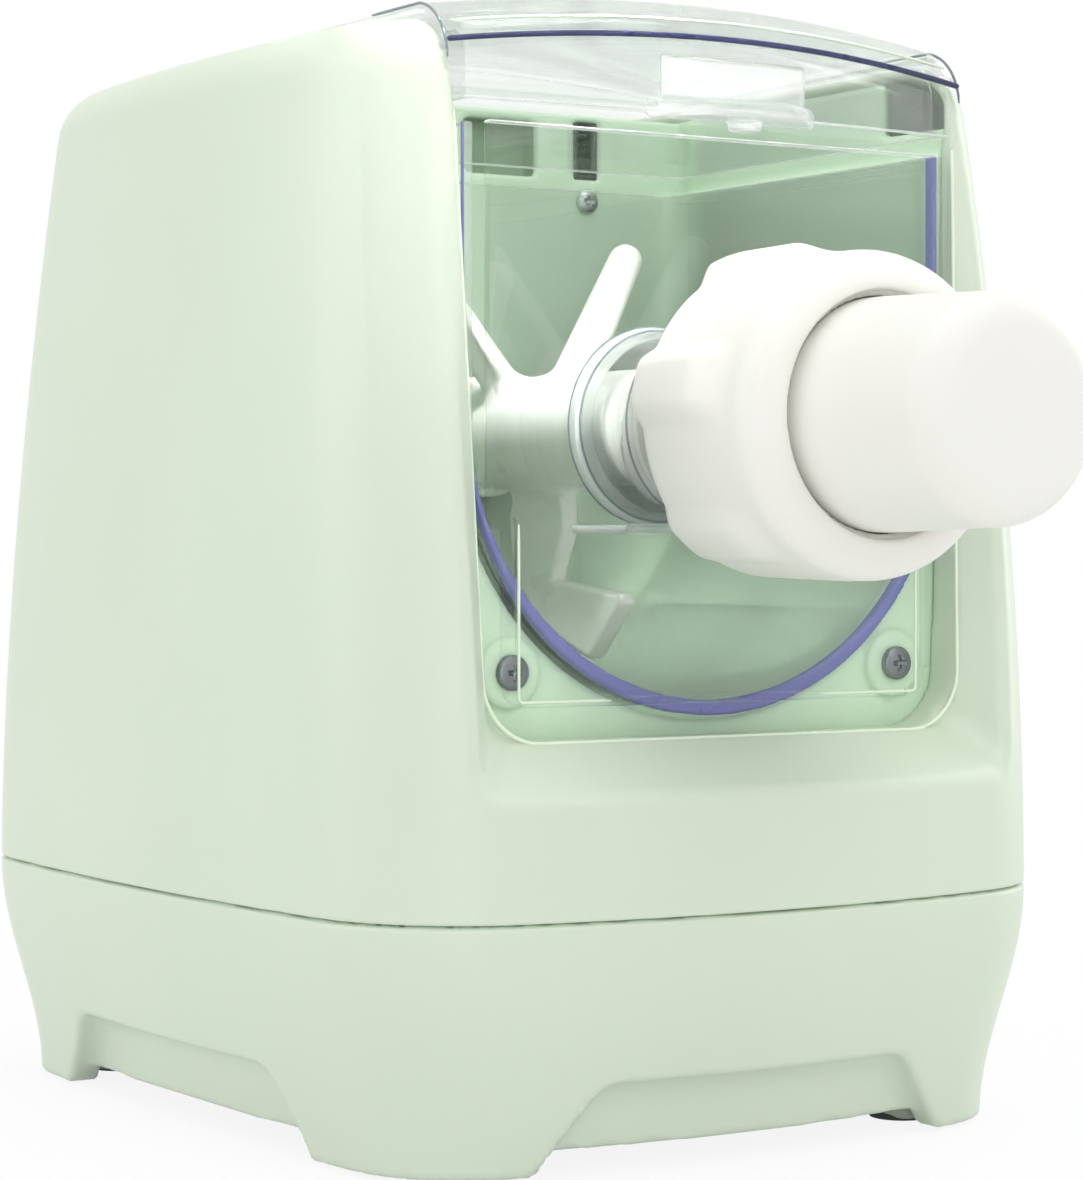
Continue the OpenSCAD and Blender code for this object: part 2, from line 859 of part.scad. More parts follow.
module lid_tab() {
    z0 = body_h - lid_skirt + 1;
    color(clear) in_frame() {
        block(-tab_half, tab_half, lid_front - 2.5, lid_front, z0, z0 + 12);
        // Lens-shaped finger ledge
        intersection() {
            translate([0, lid_front + 0.5 * (ledge_half * ledge_half / ledge_reach - ledge_reach), z0 - 3])
                cylinder(r = 0.5 * (ledge_half * ledge_half / ledge_reach + ledge_reach), h = 4, $fn = 128);
            block(-ledge_half, ledge_half, lid_front - ledge_reach, lid_front, z0 - 3, z0 + 1);
        }
        translate([0, lid_front - 6, chamber_top + slide])
            cylinder(r = 4, h = z0 - 2.9 - chamber_top - slide);
    }
}

// ---- Mixing chamber and front plate ------------------------------------------

module mixing_chamber() {
    inner = chamber_r - chamber_wall;
    color(clear) in_frame()
        difference() {
            union() {
                trough(chamber_r, chamber_top, chamber_front, chamber_back);
                trough(chamber_r + 1.4, chamber_top, chamber_front, chamber_front + 3);
                block(-chamber_r - 1.4, chamber_r + 1.4, chamber_front, chamber_back, chamber_top - 2.5,
                    chamber_top);
            }
            trough(inner, chamber_top + 5, chamber_front - 1, chamber_back - chamber_wall - 0.3);
            rod(seal_bore, chamber_back - 8, chamber_back + 2);
        }
}

module chamber_seal() {
    outer = chamber_r + 1.4;
    color(violet) in_frame()
        difference() {
            trough(outer, chamber_top, seal_front, chamber_front);
            trough(outer - seal_w, chamber_top + 5, seal_front - 1, chamber_front + 1);
        }
}

plate_half = chamber_r - 3;
leg_half = chamber_r - 7;
leg_z = axis_z - 26;
plate_z = axis_z - 67;

module plate_2d() {
    r = 6;
    translate([-plate_half, leg_z])
        square([2 * plate_half, chamber_top - leg_z]);
    translate([-leg_half, plate_z + r])
        square([2 * leg_half, leg_z - plate_z]);
    translate([-leg_half + r, plate_z])
        square([2 * (leg_half - r), 2 * r]);
    for (s = [-1, 1])
        translate([s * (leg_half - r), plate_z + r])
            circle(r = r);
}

module front_plate() {
    color(clear) in_frame() {
        difference() {
            translate([0, plate_rear, 0])
                rotate([90, 0, 0])
                    linear_extrude(plate_t)
                        plate_2d();
            rod(tube_r, plate_front - 1, plate_rear + 1);
        }
        // Ribs of the two legs and the foot rail
        for (s = [-1, 1])
            block(s * (leg_half - 1) - 1, s * (leg_half - 1) + 1, plate_front - 2, plate_front + eps,
                plate_z + 7, leg_z + 3);
        block(-leg_half + 7, leg_half - 7, plate_front - 2, plate_front + eps, plate_z, plate_z + 2);
        // Chute under the tube
        block(-26, 26, plate_rear - eps, plate_rear + tube_in - 2, axis_z - tube_r - 3, axis_z - tube_r - 1);
    }
}

lug_y = nut_rear - 8;
lug_t = 4;
lug_r = tube_r + 5;
lug_angle = 34;

module lugs(r, angle, y0, y1) {
    for (k = [0:2])
        translate([0, y1, axis_z])
            rotate([90, 0, 0])
                rotate([0, 0, 90 + 120 * k - angle / 2])
                    rotate_extrude(angle = angle, $fn = 64)
                        translate([tube_r - 1.5, 0])
                            square([r - tube_r + 1.5, y1 - y0]);
}

module extrusion_tube() {
    color(clear) in_frame()
        difference() {
            union() {
                rod(tube_r, tube_front, tube_rear);
                rod(tube_r + 1, tube_rear - 3, tube_rear);
                lugs(lug_r, lug_angle, lug_y - lug_t, lug_y);
            }
            rod(tube_r - tube_wall, tube_front - 1, tube_rear + 1);
        }
}

// ---- Nozzle -----------------------------------------------------------------

nut_cavity = lug_r + 1;
nut_wall = nut_r - nut_cavity;
ring_t = 5.5;
disc_gap = 0.3;

module nut_outline() {
    ring_len = 12;
    polygon(concat(
        [[0, 0], [nut_r - 1.5, 0], [nut_r, 1.5]],
        [[nut_r + 0.6, nut_len - ring_len - 2]],
        arc_points([cap_r + 3, nut_len - nut_r + cap_r + 2.4], nut_r - cap_r - 2.4, 0, 84, 8),
        [[0, nut_len]]
    ));
}

module nut_lobe() {
    polygon([
        [nut_r - 3, 0], [nut_r + lobe_h - 2, 0], [nut_r + lobe_h, 2],
        [nut_r + lobe_h, nut_len - 18], [nut_r + lobe_h - 2, nut_len - 15], [nut_r - 3, nut_len - 12]
    ]);
}

module locking_nut() {
    disc_back = tube_front - disc_t - disc_gap - nut_rear;
    color(ivory) in_frame()
        difference() {
            union() {
                revolved(nut_rear)
                    nut_outline();
                for (k = [0:lobe_count - 1])
                    translate([0, nut_rear, axis_z])
                        rotate([90, 0, 0])
                            rotate([0, 0, 97 + k * 360 / lobe_count])
                                rotate_extrude(angle = 24, $fn = 64)
                                    nut_lobe();
            }
            rod(nut_cavity, nut_rear + disc_back, nut_rear - 7);
            rod(tube_r + slide, nut_rear - 10, nut_rear + 1);
            rod(cap_r + 0.8, nut_front - 5, nut_rear - 10);
            rotate_about_axis(-nut_turn)
                lugs(lug_r + 0.5, lug_angle + 6, nut_rear - 9, nut_rear + 1);
        }
}

module rotate_about_axis(a) {
    translate([0, 0, axis_z])
        rotate([0, -a, 0])
            translate([0, 0, -axis_z])
                children();
}

module shaping_disc() {
    slot_w = 2;
    color(ivory) in_frame()
        difference() {
            rod(nut_cavity - 0.6, tube_front - disc_t, tube_front);
            for (k = [-3:3])
                block(k * 4.6 - slot_w / 2, k * 4.6 + slot_w / 2, tube_front - disc_t - 1, tube_front + 1,
                    axis_z - 11, axis_z + 11);
        }
}

cap_base = tube_front - disc_t - 0.1;

module cap_profile(inset) {
    r = cap_r - inset;
    len = cap_base - cap_front - inset;
    nose = 15 - inset;
    polygon(concat(
        [[0, -inset * 2], [r, -inset * 2], [r, 14], [r - 1.2, len - nose]],
        [for (a = [10:10:80]) [(r - 1.2 - nose) + nose * cos(a), len - nose + nose * sin(a)]],
        [[r - 1.2 - nose, len], [0, len]]
    ));
}

module end_cap() {
    color(ivory) in_frame()
        difference() {
            revolved(cap_base)
                cap_profile(0);
            revolved(cap_base)
                cap_profile(cap_wall);
        }
}

// ---- Mixing paddle and auger ---------------------------------------------------

hub_r = 14.5;
hub_rear = chamber_back - 7;
hub_front = tube_rear - 1;
hex_af = 12;
socket_depth = 20;
bush_r = 9.5;

function polar(r, a) = [r * cos(a), r * sin(a)];

module arm(angle, y0, y1, r_root, r_tip, reach) {
    p0 = polar(hub_r - 4, angle);
    p1 = polar(reach - r_tip, angle);
    hull() {
        translate([p0[0], y0, axis_z + p0[1]])
            sphere(r = r_root, $fn = 20);
        translate([p1[0], y1, axis_z + p1[1]])
            sphere(r = r_tip, $fn = 20);
    }
}

// Scraper outline: depth from the plan line, and height as a share of the reach
scraper = [
    [-19, -0.12], [-14, -0.35], [-15, -0.5], [-19, -0.64], [-26, -0.75], [-37, -0.85], [-50, -0.925],
    [-53, -0.925], [-67, -0.7], [-65.5, -0.66], [-35, -0.61], [-41, -0.4], [-39, -0.12]
];

module mixing_paddle() {
    reach = chamber_r - chamber_wall - 4;
    color(ivory) in_frame() {
        difference() {
            union() {
                rod(hub_r, hub_front, hub_rear);
                rod(hub_r + 2, hub_rear - 6, hub_rear);
                arm(57, -29, -21, 6, 4.5, reach - 3);
                // Curved leaf that lifts the flour
                arm(122, -20, -12, 5, 4, reach - 8);
                hull() {
                    translate([0, -14, axis_z])
                        rotate([0, -122, 0])
                            translate([reach * 0.45, 0, 0])
                                cube([16, 22, 3], center = true);
                    translate([0, -10, axis_z])
                        rotate([0, -128, 0])
                            translate([reach * 0.85, 0, 0])
                                cube([8, 8, 3], center = true);
                }
                // Flag-shaped scraper blade below the hub
                translate([-2.5, 0, axis_z])
                    rotate([90, 0, 90])
                        linear_extrude(5)
                            polygon([for (p = scraper) [p[0], p[1] * reach]]);
            }
            translate([0, hub_rear + 1, axis_z])
                rotate([90, 0, 0])
                    cylinder(r = (hex_af / 2 + 0.15) / cos(30), h = socket_depth + 1, $fn = 6);
        }
    }
}

module extruder_auger() {
    core = 7;
    flight = tube_r - tube_wall - 1;
    len = hub_front - tube_front - 2;
    turns = 2.25;
    color(ivory) in_frame()
        translate([0, hub_front, axis_z])
            rotate([90, 0, 0]) {
                linear_extrude(len, twist = 360 * turns, slices = 27)
                    hull() {
                        circle(r = core, $fn = 12);
                        translate([flight - 5, 0])
                            circle(r = 5, $fn = 8);
                    }
            }
}

// ---- Drive ------------------------------------------------------------------

journal_r = 7.5;
seal_bore = 11;
case_front = liner_back + 8;
gear_y0 = case_front + 6;
gear_t = 9;
idler_y0 = gear_y0 + gear_t + 2;
idler_t = 7;
cover_y = idler_y0 + idler_t + 3;
cover_t = 3.5;

output_dist = output_module * (output_teeth + pinion_teeth) / 2;
input_dist = input_module * (input_teeth + pinion_teeth) / 2;
idler_angle = -60;
motor_angle = -110;
idler_x = output_dist * cos(idler_angle);
idler_z = axis_z + output_dist * sin(idler_angle);
motor_x = idler_x + input_dist * cos(motor_angle);
motor_z = idler_z + input_dist * sin(motor_angle);

pressure_angle = 25;

function roll(a) = tan(a) * 180 / PI - a;

// Outline of a spur gear with involute flanks and a little backlash
function gear_points(m, teeth) =
    let (
        rp = m * teeth / 2,
        rb = rp * cos(pressure_angle),
        ra = rp + 0.92 * m,
        rr = rp - 1.2 * m,
        half = 90 / teeth - 0.07 * m / rp * 180 / PI,
        r0 = max(rb, rr),
        radii = [for (i = [0:3]) r0 + (ra - r0) * i / 3],
        turn = [for (r = radii) half + roll(pressure_angle) - roll(acos(min(1, rb / r)))]
    )
    [for (k = [0:teeth - 1]) let (c = 360 * k / teeth) each concat(
        [polar(rr, c - turn[0])],
        [for (i = [0:3]) polar(radii[i], c - turn[i])],
        [for (i = [3:-1:0]) polar(radii[i], c + turn[i])],
        [polar(rr, c + turn[0])]
    )];

// Gear on the mixing side: phase turns a tooth, given in degrees, onto an angle
module spur_gear(m, teeth, y0, t, x, z, phase) {
    translate([x, y0 + t, z])
        rotate([90, 0, 0])
            linear_extrude(t)
                rotate([0, 0, phase])
                    polygon(gear_points(m, teeth));
}

module drive_coupling() {
    color(steel) in_frame() {
        difference() {
            union() {
                rod(journal_r, hub_rear + 1.5, case_front - 1);
                translate([0, hub_rear + 2, axis_z])
                    rotate([90, 0, 0])
                        cylinder(r = hex_af / 2 / cos(30), h = socket_depth, $fn = 6);
            }
            rod(shaft_r, hub_rear + 2, case_front + 2);
        }
    }
}

module drive_shaft() {
    color(steel) in_frame()
        rod(shaft_r, hub_rear + 2, cover_y + cover_t + 1);
}

module shaft_seal() {
    color(black) in_frame()
        tube_ring(seal_bore, journal_r + 0.1, chamber_back - 6, chamber_back + 0.5);
}

module output_gear() {
    color("#e9e4d4") in_frame()
        difference() {
            union() {
                spur_gear(output_module, output_teeth, gear_y0, gear_t, 0, axis_z, idler_angle);
                rod(11, gear_y0 - 1, gear_y0 + gear_t + 4);
            }
            rod(shaft_r, gear_y0 - 5, gear_y0 + gear_t + 6);
            for (k = [0:5])
                rotate_about_axis(k * 60)
                    rod(6.5, gear_y0 - 5, gear_y0 + gear_t + 5, 24, axis_z);
        }
}

module output_bearings() {
    color(steel) in_frame() {
        tube_ring(11, shaft_r + run, case_front, case_front + 5);
        tube_ring(11, shaft_r + run, cover_y - 2.5, cover_y + cover_t);
    }
}

// Gear case outline: round bosses about each axis
module case_2d(grow) {
    output_out = output_module * (output_teeth / 2 + 1) + 3;
    input_out = input_module * (input_teeth / 2 + 1) + 3;
    translate([0, axis_z])
        circle(r = output_out + grow, $fn = 96);
    translate([idler_x, idler_z])
        circle(r = input_out + grow, $fn = 96);
    translate([motor_x, motor_z])
        circle(r = 17 + grow, $fn = 64);
}

case_screws = [[-38, axis_z + 30], [38, axis_z + 30], [-38, axis_z - 30]];

module at_case_screws() {
    for (p = case_screws)
        translate([p[0], 0, p[1]])
            children();
}

module gearbox_case() {
    color(ivory) in_frame()
        difference() {
            union() {
                translate([0, cover_y, 0])
                    rotate([90, 0, 0])
                        linear_extrude(cover_y - case_front)
                            case_2d(2.5);
                at_case_screws()
                    rod(5, case_front, cover_y, 0, 0);
            }
            translate([0, cover_y + 1, 0])
                rotate([90, 0, 0])
                    linear_extrude(cover_y - case_front - 2.5)
                        case_2d(0);
            rod(11, case_front - 1, case_front + 5);
            rod(shaft_r + 3, case_front - 5, case_front + 10);
            rod(idler_r, case_front - 1, case_front + 10, idler_x, idler_z);
            at_case_screws()
                rod(1.6, case_front + 3, cover_y + 1, 0, 0);
        }
}

module gearbox_cover() {
    color(ivory) in_frame()
        difference() {
            union() {
                translate([0, cover_y + cover_t, 0])
                    rotate([90, 0, 0])
                        linear_extrude(cover_t)
                            case_2d(2.5);
                at_case_screws()
                    rod(5, cover_y, cover_y + cover_t, 0, 0);
            }
            rod(11, cover_y - 1, cover_y + cover_t + 1);
            rod(idler_r, cover_y - 1, cover_y + cover_t + 1, idler_x, idler_z);
            rod(8, cover_y - 1, cover_y + cover_t + 1, motor_x, motor_z);
            at_case_screws()
                rod(1.8, cover_y - 1, cover_y + cover_t + 1, 0, 0);
        }
}

module gearbox_screws() {
    color(steel) in_frame()
        at_case_screws() {
            rod(1.6, case_front + 6, cover_y + cover_t, 0, 0);
            rod(3.4, cover_y + cover_t, cover_y + cover_t + 2.4, 0, 0);
        }
}

idler_r = 4;

module idler_shaft() {
    color(steel) in_frame()
        rod(idler_r, case_front, cover_y + cover_t, idler_x, idler_z);
}

// Angle of a gap or tooth that faces the partner gear
module idler_gear() {
    color("#e9e4d4") in_frame()
        difference() {
            union() {
                spur_gear(output_module, pinion_teeth, gear_y0 - 1, gear_t + 2, idler_x, idler_z,
                    idler_angle + 180 + 180 / pinion_teeth);
                spur_gear(input_module, input_teeth, idler_y0, idler_t, idler_x, idler_z, motor_angle);
                rod(7, gear_y0 - 1, idler_y0 + idler_t + 1, idler_x, idler_z);
            }
            rod(idler_r + run, gear_y0 - 5, cover_y + 5, idler_x, idler_z);
        }
}

motor_y0 = cover_y + cover_t + 1;
rotor_r = motor_r - 13;
motor_shaft_r = 2.5;

module motor_pinion() {
    color(steel) in_frame()
        difference() {
            spur_gear(input_module, pinion_teeth, idler_y0 - 1, idler_t + 2, motor_x, motor_z,
                motor_angle + 180 + 180 / pinion_teeth);
            rod(motor_shaft_r, idler_y0 - 5, cover_y + 5, motor_x, motor_z);
        }
}

module motor_shaft() {
    color(steel) in_frame()
        rod(motor_shaft_r, idler_y0 - 2, motor_y0 + motor_len + 12, motor_x, motor_z);
}

module motor_rotor() {
    color(copper) in_frame()
        tube_ring(rotor_r, motor_shaft_r, motor_y0 + 9, motor_y0 + motor_len - 9, motor_x, motor_z);
}

module motor_stator() {
    color(steel) in_frame()
        tube_ring(motor_r - 2, rotor_r + 0.8, motor_y0 + 8, motor_y0 + motor_len - 8, motor_x, motor_z);
}

module motor_can() {
    color(steel) in_frame()
        difference() {
            union() {
                rod(motor_r, motor_y0, motor_y0 + motor_len, motor_x, motor_z);
                rod(7.8, motor_y0 - 3, motor_y0 + 2, motor_x, motor_z);
            }
            rod(motor_r - 2, motor_y0 + 2.5, motor_y0 + motor_len - 2.5, motor_x, motor_z);
            rod(motor_shaft_r + run, motor_y0 - 5, motor_y0 + motor_len + 5, motor_x, motor_z);
            rod(rotor_r - 5, motor_y0 + 2.5, motor_y0 + motor_len - 2.5, motor_x, motor_z);
        }
}

module motor_fan() {
    y0 = motor_y0 + motor_len + 2;
    r = motor_r - 5;
    color(black) in_frame()
        difference() {
            union() {
                rod(7, y0, y0 + 8, motor_x, motor_z);
                rod(r, y0, y0 + 1.5, motor_x, motor_z);
                for (k = [0:6])
                    translate([motor_x, 0, motor_z])
                        rotate([0, k * 360 / 7, 0])
                            block(5, r - 1, y0 + 1, y0 + 8, -0.8, 0.8);
            }
            rod(motor_shaft_r, y0 - 1, y0 + 10, motor_x, motor_z);
        }
}

// ---- Electrics --------------------------------------------------------------

power_z = base_plate_z + base_plate_t + 4;

// Its corner, from which the parts on it are placed
power_x0 = -68;
power_y0 = rear_reach - 104;

module power_board() {
    color(board_green) in_frame()
        translate([power_x0, power_y0, power_z]) {
            cube([56, 70, 1.6]);
            for (x = [5, 45.5], y = [5, 65])
                translate([x, y, -4])
                    cylinder(r = 2.4, h = 4.01);
        }
    color(black) in_frame()
        translate([power_x0, power_y0, power_z + 1.59]) {
            translate([42, 16, 0])
                cylinder(r = 8, h = 26);
            translate([5, 7, 0])
                cube([15, 24, 22]);
            translate([34, 40, 0])
                cube([18, 22, 14]);
        }
}

module power_inlet() {
    color(black) in_frame()
        difference() {
            union() {
                inlet_opening(-0.2, inlet_y - 22, inlet_y);
                inlet_opening(1.7, inlet_y, inlet_y + 2.5);
            }
            inlet_opening(-2.4, inlet_y - 16, inlet_y + 5);
        }
    color(steel) in_frame()
        for (k = [-1, 0, 1])
            block(inlet_x + 6 * k - 1, inlet_x + 6 * k + 1, inlet_y - 17, inlet_y - 4,
                inlet_z - 2 + (k == 0 ? 4 : 0), inlet_z + 2 + (k == 0 ? 4 : 0));
}

module wire_run(x, y, z0, z1, r) {
    translate([x, y, z0])
        cylinder(r = r, h = z1 - z0);
}

module wiring_harness() {
    x = power_x0 + 24;
    y = panel_mid;
    r = 2.5;
    color(black) in_frame() {
        wire_run(x, y, power_z + 1.6, board_z - 6, r);
        translate([x, y, board_z - 6])
            sphere(r = r, $fn = 24);
        translate([x, y, board_z - 6])
            rotate([0, 90, 0])
                cylinder(r = r, h = 22);
        translate([x + 22, y, board_z - 6])
            sphere(r = r, $fn = 24);
        wire_run(x + 22, y, board_z - 6, board_z, r);
    }
}

// ---- Drawing ----------------------------------------------------------------

upper_housing();
base_shell();
base_plate();
rubber_feet();
bay_liner();
liner_screws();
control_panel();
display_window();
control_board();
panel_switches();
power_button();
program_button();
weight_button();
start_button();
lid_shell();
lid_tab();
lid_gasket();
hinge_pin();
mixing_chamber();
chamber_seal();
front_plate();
extrusion_tube();
locking_nut();
shaping_disc();
end_cap();
mixing_paddle();
extruder_auger();
shaft_seal();
drive_coupling();
drive_shaft();
output_gear();
output_bearings();
gearbox_case();
gearbox_cover();
gearbox_screws();
idler_gear();
idler_shaft();
motor_pinion();
motor_shaft();
motor_rotor();
motor_fan();
motor_can();
motor_stator();
power_board();
power_inlet();
wiring_harness();
interlock_socket();
contact_leaves();
wall_screw();
lid_switch();
housing_screws();
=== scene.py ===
import json
import math
from functools import reduce

import bmesh
import bpy
import numpy as np
from mathutils import Matrix, Vector


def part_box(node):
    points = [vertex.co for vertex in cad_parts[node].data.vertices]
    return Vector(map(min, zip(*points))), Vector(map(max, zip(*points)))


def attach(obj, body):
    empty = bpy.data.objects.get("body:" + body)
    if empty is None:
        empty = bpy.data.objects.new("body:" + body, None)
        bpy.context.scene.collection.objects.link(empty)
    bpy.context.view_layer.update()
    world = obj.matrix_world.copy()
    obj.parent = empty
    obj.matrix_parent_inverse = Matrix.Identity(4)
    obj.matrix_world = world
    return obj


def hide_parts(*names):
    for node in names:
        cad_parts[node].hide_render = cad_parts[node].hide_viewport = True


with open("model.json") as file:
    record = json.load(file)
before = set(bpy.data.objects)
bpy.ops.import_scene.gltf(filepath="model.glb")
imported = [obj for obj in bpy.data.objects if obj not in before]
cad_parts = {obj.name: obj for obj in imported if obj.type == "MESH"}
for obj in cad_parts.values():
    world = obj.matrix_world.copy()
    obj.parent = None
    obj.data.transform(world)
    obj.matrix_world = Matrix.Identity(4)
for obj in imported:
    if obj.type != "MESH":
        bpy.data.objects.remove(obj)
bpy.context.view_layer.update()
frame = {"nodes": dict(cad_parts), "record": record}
nodes = frame["nodes"]

MM = 0.001

# ---- Sizes, in millimetres, in the plan frame of the housing ----
# The plan line lies SHIFT behind the row frame's origin.
SHIFT = 43.0
BODY_W = 210.0
FRONT = 133.0
REAR = 130.0
BODY_H = 269.0
SEAM_Z = 60.0
SEAM_GAP = 0.6
WALL = 3.0
SIDE_BULGE = 9.0
END_BULGE = 18.0
CORNER_R = 42.0
SIDE_TAPER = 8.0
FRONT_LEAN = 19.0
REAR_LEAN = 28.0
SHOULDER_R = 13.0
BASE_INSET = 10.0
GRID_X = 107.5
GRID_Y0, GRID_Y1 = -135.5, 132.5
AXIS_Z = 175.5

WINDOW_BOTTOM = 69.5
WINDOW_TOP = 74.0
WINDOW_Z = 100.5
WINDOW_R = 15.0
LIP_BOTTOM = 21.5
LIP_TOP = 30.0
CHEEK_W = 9.0
SHELF_H = 12.0

CHAMBER_R = 69.0
CHAMBER_WALL = 2.2
RIM_OUT = 1.4
CHAMBER_BACK = 12.0
CHAMBER_TOP = 244.0
PLATE_FRONT = -108.0
PLATE_REAR = -104.5
SEAL_FRONT = -104.4
CHAMBER_FRONT = -101.4
FLANGE_Y = -99.9
LINER_BACK = 15.0
LINER_R = 71.6
LINER_T = 2.0
WELL_Z = 245.0
WELL_HALF = 73.8
WELL_Y = 38.5
LID_WELL_HALF = 73.6
TUBE_R = 23.5
TUBE_WALL = 2.3
TUBE_FRONT = -151.0
TUBE_REAR = -76.5

NUT_REAR = -126.0
NUT_FRONT = -171.0
NUT_R = 36.0
RIDGES, RIDGE_AT, RIDGE_HALF, RIDGE_OUT = 6, 109, 6.5, 3.4
LUGS, LUG_Y = 3, -136.0
CAP_R = 26.5
CAP_FRONT = -216.0
CAP_BASE = -157.1
CAP_WALL = 2.2

LID_HALF = 76.0
LID_INNER_HALF = 71.5
LID_TOP = 277.0
LID_FRONT = -110.0
LID_REAR = 19.5
LID_WALL = 2.4
LID_NOSE = 15.0
LID_CROWN = 5.0
LID_SKIRT = 20.0
HINGE_Y = 29.0
HINGE_Z = 262.5

PANEL_W = 112.0
PANEL_D = 41.0
PANEL_Y = 42.0
PANEL_SEAT = 2.4


# ---- Distance functions ----
# Each takes coordinate arrays in millimetres and is negative inside the solid.

def length2(a, b):
    return np.sqrt(a * a + b * b)


def ease(t):
    """Smooth step from 0 to 1, level outside them."""
    t = np.clip(t, 0, 1)
    return t * t * (3 - 2 * t)


def meet(*solids):
    """Intersection with sharp edges."""
    return reduce(np.maximum, solids)


def join(*solids):
    """Union with sharp edges."""
    return reduce(np.minimum, solids)


def both(a, b, r):
    """Intersection of two solids with its edge rounded to radius r."""
    u = np.maximum(a + r, 0)
    v = np.maximum(b + r, 0)
    return np.minimum(np.maximum(a, b), -r) + length2(u, v)


def either(a, b, r):
    """Union of two solids with its inner corner filled to radius r."""
    return -both(-a, -b, r)


def less(a, b, r):
    """Solid a without solid b, with the cut's edge rounded to radius r."""
    return both(a, -b, r)


def box3(x, y, z, low, high, r=0.0):
    """Box between two corners with edges rounded to radius r."""
    d = []
    for v, a, b in zip((x, y, z), low, high):
        d.append(np.abs(v - (a + b) / 2) - (b - a) / 2 + r)
    out = np.sqrt(sum(np.maximum(q, 0) ** 2 for q in d))
    return out + np.minimum(np.maximum(np.maximum(d[0], d[1]), d[2]), 0) - r


def rod_y(x, y, z, r, y0, y1, cx=0.0, cz=AXIS_Z, edge=0.0):
    """Cylinder along the depth with rounded rims."""
    radial = length2(x - cx, z - cz) - r
    ends = np.maximum(y0 - y, y - y1)
    return both(radial, ends, edge) if edge else np.maximum(radial, ends)


def capsule(x, y, z, a, b, ra, rb):
    """Rod with round ends from a to b, with the radius ra at a and rb at b."""
    d = [q - p for p, q in zip(a, b)]
    n = sum(q * q for q in d)
    t = ((x - a[0]) * d[0] + (y - a[1]) * d[1] + (z - a[2]) * d[2]) / n
    t = np.clip(t, 0, 1)
    e = [v - (p + t * q) for v, p, q in zip((x, y, z), a, d)]
    return np.sqrt(e[0] ** 2 + e[1] ** 2 + e[2] ** 2) - (ra + (rb - ra) * t)


def polygon2(u, v, points):
    """Signed distance to a closed polygon in a plane."""
    d = np.full(np.shape(u), 1e9)
    inside = np.zeros(np.shape(u), bool)
    n = len(points)
    for i in range(n):
        ax, ay = points[i]
        bx, by = points[(i + 1) % n]
        ex, ey = bx - ax, by - ay
        wx, wy = u - ax, v - ay
        t = np.clip((wx * ex + wy * ey) / (ex * ex + ey * ey), 0, 1)
        d = np.minimum(d, (wx - ex * t) ** 2 + (wy - ey * t) ** 2)
        if ay != by:
            crosses = (ay > v) != (by > v)
            inside ^= crosses & (u < ex * (v - ay) / ey + ax)
    d = np.sqrt(d)
    return np.where(inside, -d, d)


# ---- The housing's form ----

def rise(z):
    return np.clip(z - SEAM_Z, 0, None) / (BODY_H - SEAM_Z)


def base_draw(z):
    t = np.clip((SEAM_Z - z) / SEAM_Z, 0, 1.1)
    return BASE_INSET * (1 - np.cos(np.pi * t)) / 2


def half_width(z):
    return BODY_W / 2 - SIDE_TAPER * rise(z) ** 2


def front_at(z):
    return FRONT - FRONT_LEAN * rise(z) ** 1.8


def rear_at(z):
    return REAR - REAR_LEAN * rise(z) ** 1.5


def plan_distance(x, y, z):
    """Distance from the housing's outline at each height: bulged sides, round corners."""
    draw = base_draw(z)
    a = half_width(z) - draw
    b = (front_at(z) + rear_at(z)) / 2 - draw
    mid = (rear_at(z) - front_at(z)) / 2
    r = CORNER_R - draw
    px, py = np.abs(x), np.abs(y - mid)
    side_r = (b * b + SIDE_BULGE ** 2) / (2 * SIDE_BULGE)
    end_r = (a * a + END_BULGE ** 2) / (2 * END_BULGE)
    side_x = a - side_r
    end_y = b - end_r
    gap = length2(side_x, end_y)
    ux, uy = -side_x / gap, end_y / gap
    d1, d2 = side_r - r, end_r - r
    k = (d1 * d1 - d2 * d2 + gap * gap) / (2 * gap)
    h = np.sqrt(d1 * d1 - k * k)
    cx = side_x + k * ux - h * uy
    cy = k * uy + h * ux
    a1 = np.arctan2(cy, cx - side_x)
    a2 = np.arctan2(cy - end_y, cx)
    on_side = np.arctan2(py, px - side_x) <= a1
    on_end = np.arctan2(py - end_y, px) >= a2
    side = length2(px - side_x, py) - side_r
    end = length2(px, py - end_y) - end_r
    corner = length2(px - cx, py - cy) - r
    return np.where(on_side, side, np.where(on_end, end, corner))


def front_surface(x, z):
    a = half_width(z)
    arc = (a * a + END_BULGE ** 2) / (2 * END_BULGE)
    return -(front_at(z) - arc + np.sqrt(np.clip(arc * arc - x * x, 0, None)))


def window_half(z):
    return WINDOW_BOTTOM + (WINDOW_TOP - WINDOW_BOTTOM) * (z - WINDOW_Z) / (BODY_H - WINDOW_Z)


def lip_y(z):
    return -(FRONT - LIP_BOTTOM) + (LIP_TOP - LIP_BOTTOM) * (z - WINDOW_Z) / (BODY_H - WINDOW_Z)


